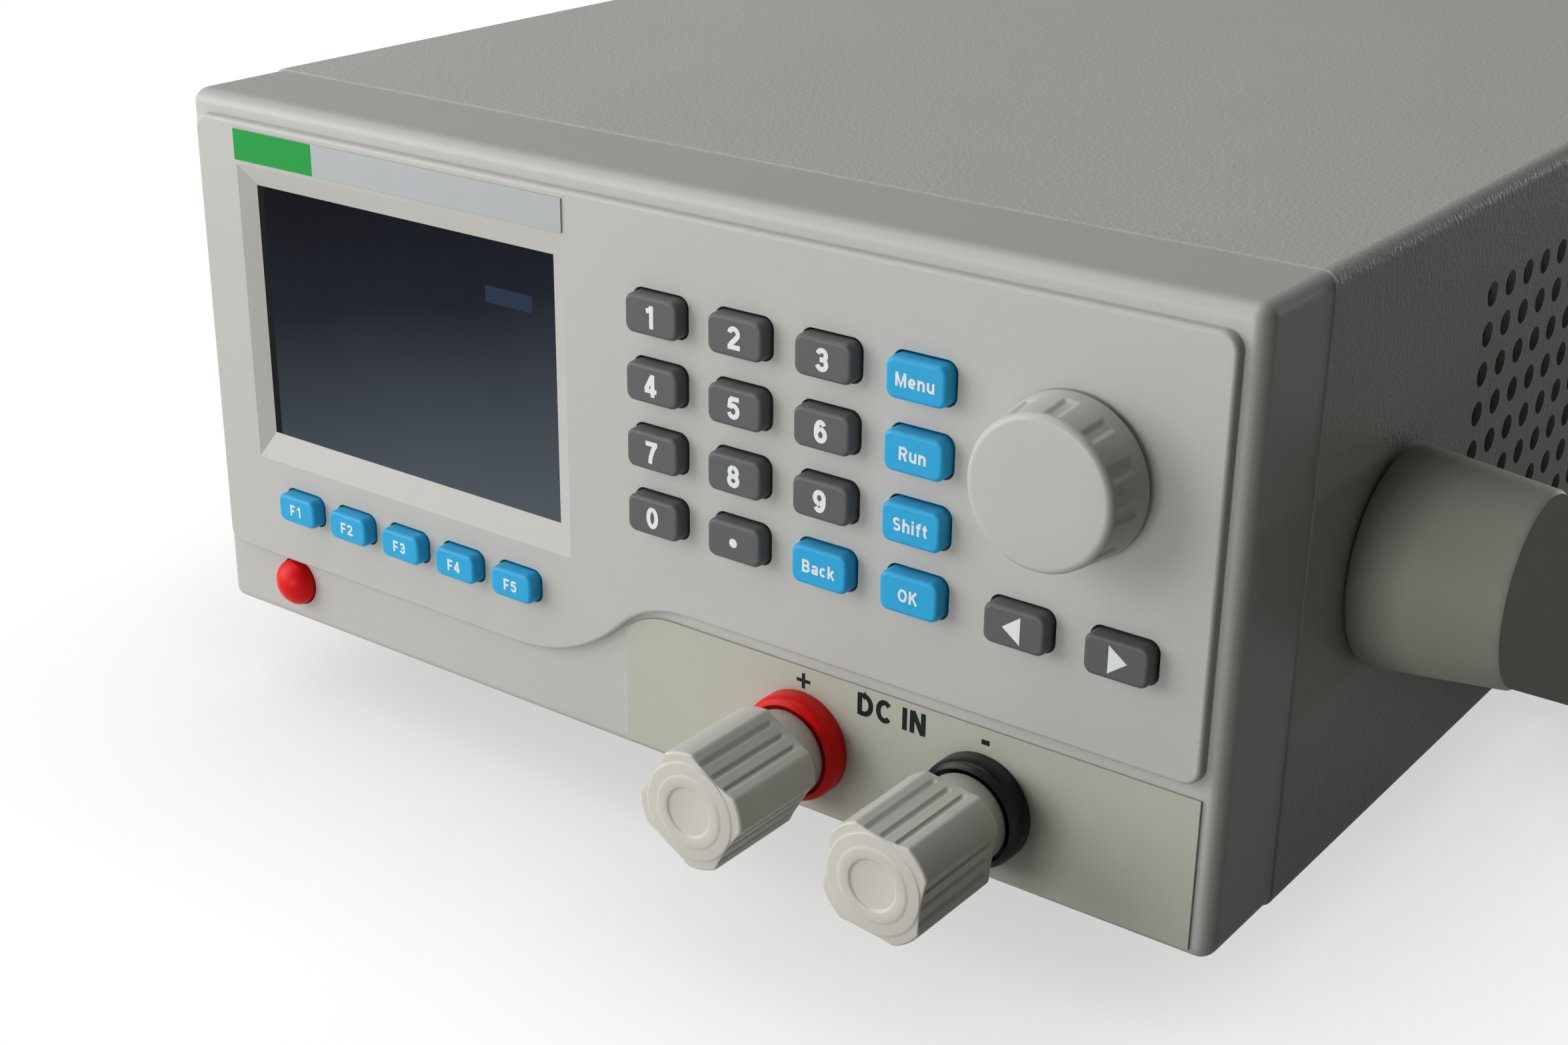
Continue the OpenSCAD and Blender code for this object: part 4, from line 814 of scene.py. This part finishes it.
bezelForm = {"halfWide": 109.7, "halfTall": 51.95, "middle": baseZ + 52.25, "cornerR": 2.6, "rimR": 2.4, "rimDeep": 3.4,
             "seam": 21.5, "slices": 10, "turns": 8, "panelFace": 1.75, "panelSide": 106.5, "panelTop": 118.4,
             "panelNear": 3.5, "panelLow": 49.5, "panelEdge": 0.75, "holeEdge": 0.2}
softKeyZone = {"left": -95, "right": -18, "low": 40}


def rimFaces(bm, form):
    # the faces of the solid's own rounding and sides, which the new rim takes the place of
    inX, inZ = form["halfWide"] - form["rimR"] - 0.02, form["halfTall"] - form["rimR"] - 0.02
    found = []
    for f in bm.faces:
        c = f.calc_center_median() / mm
        dx, dz = c.x, c.z - form["middle"]
        way = Vector((math.copysign(1, dx) if abs(dx) > inX else 0, 0, math.copysign(1, dz) if abs(dz) > inZ else 0))
        if rimY + 0.001 < c.y < rimY + form["seam"] - 0.01 and f.normal.dot(way) > 0.03:
            found.append(f)
    return found


def faceEdges(bm, form):
    # sharp edges on the panel's face: those round the panel, and those round its openings
    face = (rimY - form["panelFace"]) * mm
    zone = softKeyZone
    panel, holes = [], []
    for e in bm.edges:
        if len(e.link_faces) != 2 or e.calc_face_angle(0) < math.radians(15) or not e.is_convex:
            continue
        if any(abs(v.co.y - face) >= 2e-6 for v in e.verts):
            continue
        middle = (e.verts[0].co + e.verts[1].co) / 2 / mm
        near = min(abs(abs(middle.x) - form["panelSide"]), abs(middle.z - form["panelTop"])) < form["panelNear"]
        onSoftKey = zone["left"] < middle.x < zone["right"] and middle.z > zone["low"]
        low = middle.z < form["panelLow"] and not onSoftKey
        (panel if near or low else holes).append(e)
    return panel, holes


def makeBezel(form):
    bm = cadMesh("front_bezel")
    outer = rimFaces(bm, form)
    replaced = len(outer)
    bmesh.ops.delete(bm, geom=outer, context="FACES")
    panel, holes = faceEdges(bm, form)
    counts = len(panel), len(holes)
    bevelEdges(bm, panel, form["panelEdge"] * mm, 4)
    bevelEdges(bm, [e for e in holes if e.is_valid], form["holeEdge"] * mm, 2)
    addRim(bm, form)
    evenShading(newPiece("frontBezelSkin", bm, bezelFinish, "case", "front_bezel", 35))
    print("bezel faces replaced by the rim:", replaced, "panel edges", counts[0], "hole edges", counts[1])


def addRim(bm, form):
    # rings of points round the case, from the flat of the rim out over the rounding and back to the seam
    slices, turns = form["slices"], form["turns"]
    climb = [math.radians(90 * i / slices) for i in range(slices + 1)]
    profile = [(math.sin(t), 1 - math.cos(t)) for t in climb]
    spread = form["cornerR"] - form["rimR"]
    rings = []
    for out, deep in profile + [(1, None)]:
        y = rimY + (form["seam"] if deep is None else deep * form["rimDeep"])
        # the first ring closes to the sharp corner of the flat
        hold = spread if out else 0
        r = form["rimR"] * out + hold
        ring = []
        for right, up, first in ((1, 1, 0), (-1, 1, 90), (-1, -1, 180), (1, -1, 270)):
            cx = right * (form["halfWide"] - form["rimR"] - hold)
            cz = form["middle"] + up * (form["halfTall"] - form["rimR"] - hold)
            for j in range(turns + 1):
                t = math.radians(first + 90 * j / turns)
                ring.append(bm.verts.new(((cx + r * math.cos(t)) * mm, y * mm, (cz + r * math.sin(t)) * mm)))
        rings.append(ring)
    for one, two in zip(rings, rings[1:]):
        for i in range(len(one)):
            j = (i + 1) % len(one)
            bm.faces.new((one[i], one[j], two[j], two[i]))
    weldMesh(bm)


makeBezel(bezelForm)


# Label, title strip and display

def flatPrint(name, low, high, y, finish):
    # thin printed patch in the X and Z directions, in mm
    bm = bmesh.new()
    bmesh.ops.create_grid(bm, x_segments=1, y_segments=1, size=0.5)
    bmesh.ops.scale(bm, verts=bm.verts[:], vec=((high[0] - low[0]) * mm, (high[1] - low[1]) * mm, 1))
    bmesh.ops.rotate(bm, verts=bm.verts[:], cent=(0, 0, 0), matrix=Matrix.Rotation(math.radians(90), 3, "X"))
    middle = ((low[0] + high[0]) / 2 * mm, y * mm, (low[1] + high[1]) / 2 * mm)
    bmesh.ops.translate(bm, verts=bm.verts[:], vec=middle)
    newPiece(name, bm, finish, "case")


dressNode("input_label", labelFinish, 0.12)
dressNode("title_strip", stripFinish, 0.08)
stripLow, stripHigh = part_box("title_strip")
greenForm = {"end": -75.1, "inset": 0.05}
flatPrint("titleGreen", (stripLow.x / mm + greenForm["inset"], stripLow.z / mm + greenForm["inset"]),
          (greenForm["end"], stripHigh.z / mm - greenForm["inset"]), stripLow.y / mm - printLift, greenFinish)
labelY = rimY - 0.5
printWord("plusMark", "+", 4.0, (34.0, labelY, baseZ + 25.6), darkPrint, "case", 0.165)
printWord("minusMark", "-", 3.8, (69.3, labelY, baseZ + 25.7), darkPrint, "case", 0.235)
printWord("inputWord", "DC IN", 4.0, (51.5, labelY, baseZ + 25.0), darkPrint, "case", 0.23, 0.17)

screenForm = {"left": -92.3, "right": -23.7, "low": baseZ + 39.9, "high": baseZ + 88.5, "shadeBand": 1.7, "y": rimY - 0.2,
              "boxLow": (-35.2, baseZ + 77.1), "boxHigh": (-24.3, baseZ + 80.2),
              "downShare": 0.74, "overShare": 0.3, "drift": 0.16,
              "stops": ((0.0, (9, 12, 19)), (0.4, (29, 33, 42)), (1.0, (79, 87, 95)))}


def makeScreenFinish(form):
    f = Finish("screen", linear(34, 38, 50), 0.2, {"Specular IOR Level": 0.03})
    across = f.add("ShaderNodeSeparateXYZ", {}, {0: f.place}, out=0)
    height = f.add("ShaderNodeSeparateXYZ", {}, {0: f.place}, out=2)
    # painted reflection: the glass is coloured darker toward the top and left and lighter toward the bottom right, with
    # a slow random drift, in place of the surroundings it mirrors
    down = (form["high"] * mm - height) * (1 / (form["high"] - form["low"]) / mm)
    over = (across - form["left"] * mm) * (1 / (form["right"] - form["left"]) / mm)
    glare = down * form["downShare"] + over * form["overShare"] + (f.noise(24, 3) - 0.5) * form["drift"]
    stops = [(at, (*linear(*rgb), 1)) for at, rgb in form["stops"]]
    lit = f.add("ShaderNodeValToRGB", {"stops": stops}, {0: glare})
    # painted shade: a dark band along the left edge of the glass, where the recess wall shades it
    edge = across < (form["left"] + form["shadeBand"]) * mm
    f.give("Base Color", f.blendColour(edge, lit, (*linear(27, 29, 28), 1)))
    f.give("Roughness", 0.16 + 0.12 * f.noise(300, 3))
    return f


screenFinish = makeScreenFinish(screenForm)
fieldFinish = plastic("screenField", linear(42, 54, 74), 0.3, 0.000004, 1800, {"Specular IOR Level": 0.03})
flatPrint("screenBox", screenForm["boxLow"], screenForm["boxHigh"], screenForm["y"] - printLift, fieldFinish)
dressNode("lcd_window", screenFinish)
print("front prints made")


# Case, handle, rear and underside, with the width of the rounding in mm and its segments

dressSet = (
    ("top_cover", coverFinish, 0.0, 2),
    ("chassis", zincFinish, 0.0, 2),
    ("rear_panel", rearFinish, 0.0, 2),
    ("arm_right", armFinish, 0.6, 3),
    ("arm_left", armFinish, 0.6, 3),
    ("grip", gripFinish, 0.4, 3),
    ("feet", rubberFinish, 0.5, 3),
    ("fan_frame", blackFinish, 0.4, 2),
    ("fan_rotor", blackFinish, 0.3, 2),
    ("mains_inlet", blackFinish, 0.35, 2),
    ("serial_port", steelFinish, 0.2, 2),
    ("case_screws", steelFinish, 0.4, 3),
)
paintSet = {
    "hub_right": blackFinish, "hub_left": blackFinish, "pivot_bolts": steelFinish, "terminal_studs": brassFinish,
    "encoder_shaft": steelFinish, "encoder_body": blackFinish, "power_switch": blackFinish,
    "front_pcb": boardFinish, "main_pcb": boardFinish, "mosfets": blackFinish, "heat_sink": sinkFinish,
    "transformer": zincFinish, "lcd_module": zincFinish,
}
for node, finish, width, segments in dressSet:
    dressNode(node, finish, width, segments)
for node, finish in paintSet.items():
    paintNode(node, finish)
print("case, handle and rear dressed")


# Wire guard, port and mains pins on the rear panel

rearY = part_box("rear_panel")[1].y / mm
guardForm = {"x": 46.0, "z": baseZ + 52.25, "rings": (12, 21, 30), "wireR": 1.0, "spokeR": 0.8, "pitch": 71.5,
             "eyeR": 2.8, "eyeWireR": 1.2, "ringOut": 2, "spokeOut": 1}
portForm = {"x": -25.0, "z": baseZ + 72.0, "wide": 15.6, "tall": 7.0, "cornerR": 1.8, "from": 0.9, "to": 2.4,
            "pinR": 0.5, "pinRoot": 0.5, "pinTo": 5.2, "pinSoft": 0.25, "pitch": 2.75, "rows": ((1.42, 5), (-1.42, 4))}
mainsForm = {"x": -72.0, "z": baseZ + 62.0, "wide": 2.04, "tall": 4.04, "pitch": 7.0, "shift": 2.0,
             "from": -12.0, "to": -4.98, "soft": 0.5}


def addHoop(bm, x, y, z, radius, wireR, steps):
    # round wire bent to a ring about an axis along Y
    place = Matrix.Translation(((x + radius) * mm, y * mm, z * mm))
    section = bmesh.ops.create_circle(bm, segments=14, radius=wireR * mm, matrix=place)["verts"]
    edges = list({e for v in section for e in v.link_edges})
    bmesh.ops.spin(bm, geom=section + edges, cent=(x * mm, y * mm, z * mm), axis=(0, 1, 0),
                   angle=2 * math.pi, steps=steps, use_merge=True)


def addRod(bm, start, end, radius, segments=16, soft=0.0):
    first, last = Vector(start) * mm, Vector(end) * mm
    turn = (last - first).to_track_quat("Z", "Y").to_matrix().to_4x4()
    made = bmesh.ops.create_cone(bm, cap_ends=True, segments=segments, radius1=radius * mm, radius2=radius * mm,
                                 depth=(last - first).length,
                                 matrix=Matrix.Translation((first + last) / 2) @ turn)["verts"]
    if soft:
        near = radius * mm * 1.1
        tip = {e for v in made for e in v.link_edges if all((w.co - last).length < near for w in e.verts)}
        bevelEdges(bm, list(tip), soft * mm, 3)


def makeGuard(form):
    x, z = form["x"], form["z"]
    bm = bmesh.new()
    for ring in form["rings"]:
        addHoop(bm, x, rearY + form["ringOut"], z, ring, form["wireR"], 96)
    half = form["pitch"] / 2
    inner = half - (form["eyeR"] + form["eyeWireR"] * 0.5) * math.sqrt(0.5)
    spokeY, eyeY = rearY + form["spokeOut"], rearY + form["eyeWireR"]
    for side in (1, -1):
        addRod(bm, (x - inner, spokeY, z - side * inner), (x + inner, spokeY, z + side * inner), form["spokeR"])
        for end in (1, -1):
            addHoop(bm, x + end * half, eyeY, z + side * end * half, form["eyeR"], form["eyeWireR"], 32)
    weldMesh(bm)
    newPiece("guardWire", bm, steelFinish, "case", "fan_guard", 50)


def makePort(form):
    bm = bmesh.new()
    edges = addBlock(bm, form["x"], rearY + form["from"], rearY + form["to"], form["z"], form["wide"], form["tall"])
    bevelEdges(bm, alongY(edges), form["cornerR"] * mm, 5)
    newPiece("portInsert", bm, blackFinish, "case", None, 40)
    bm = bmesh.new()
    root, tip = rearY + form["to"] - form["pinRoot"], rearY + form["pinTo"]
    for up, count in form["rows"]:
        z = form["z"] + up
        for i in range(count):
            x = form["x"] + (i - (count - 1) / 2) * form["pitch"]
            addRod(bm, (x, root, z), (x, tip, z), form["pinR"], 14, form["pinSoft"])
    newPiece("portPins", bm, brassFinish, "case", None, 40)


def makeMainsPins(form):
    bm = bmesh.new()
    root, tip = rearY + form["from"], rearY + form["to"]
    for i in (-1, 0, 1):
        z = form["z"] + (form["shift"] if i == 0 else -form["shift"])
        edges = addBlock(bm, form["x"] + i * form["pitch"], root, tip, z, form["wide"], form["tall"])
        outer = tip * mm - 1e-5
        bevelEdges(bm, [e for e in edges if all(v.co.y > outer for v in e.verts)], form["soft"] * mm, 3)
    newPiece("mainsPins", bm, steelFinish, "case", None, 40)


makeGuard(guardForm)
makePort(portForm)
makeMainsPins(mainsForm)
print("rear details made")
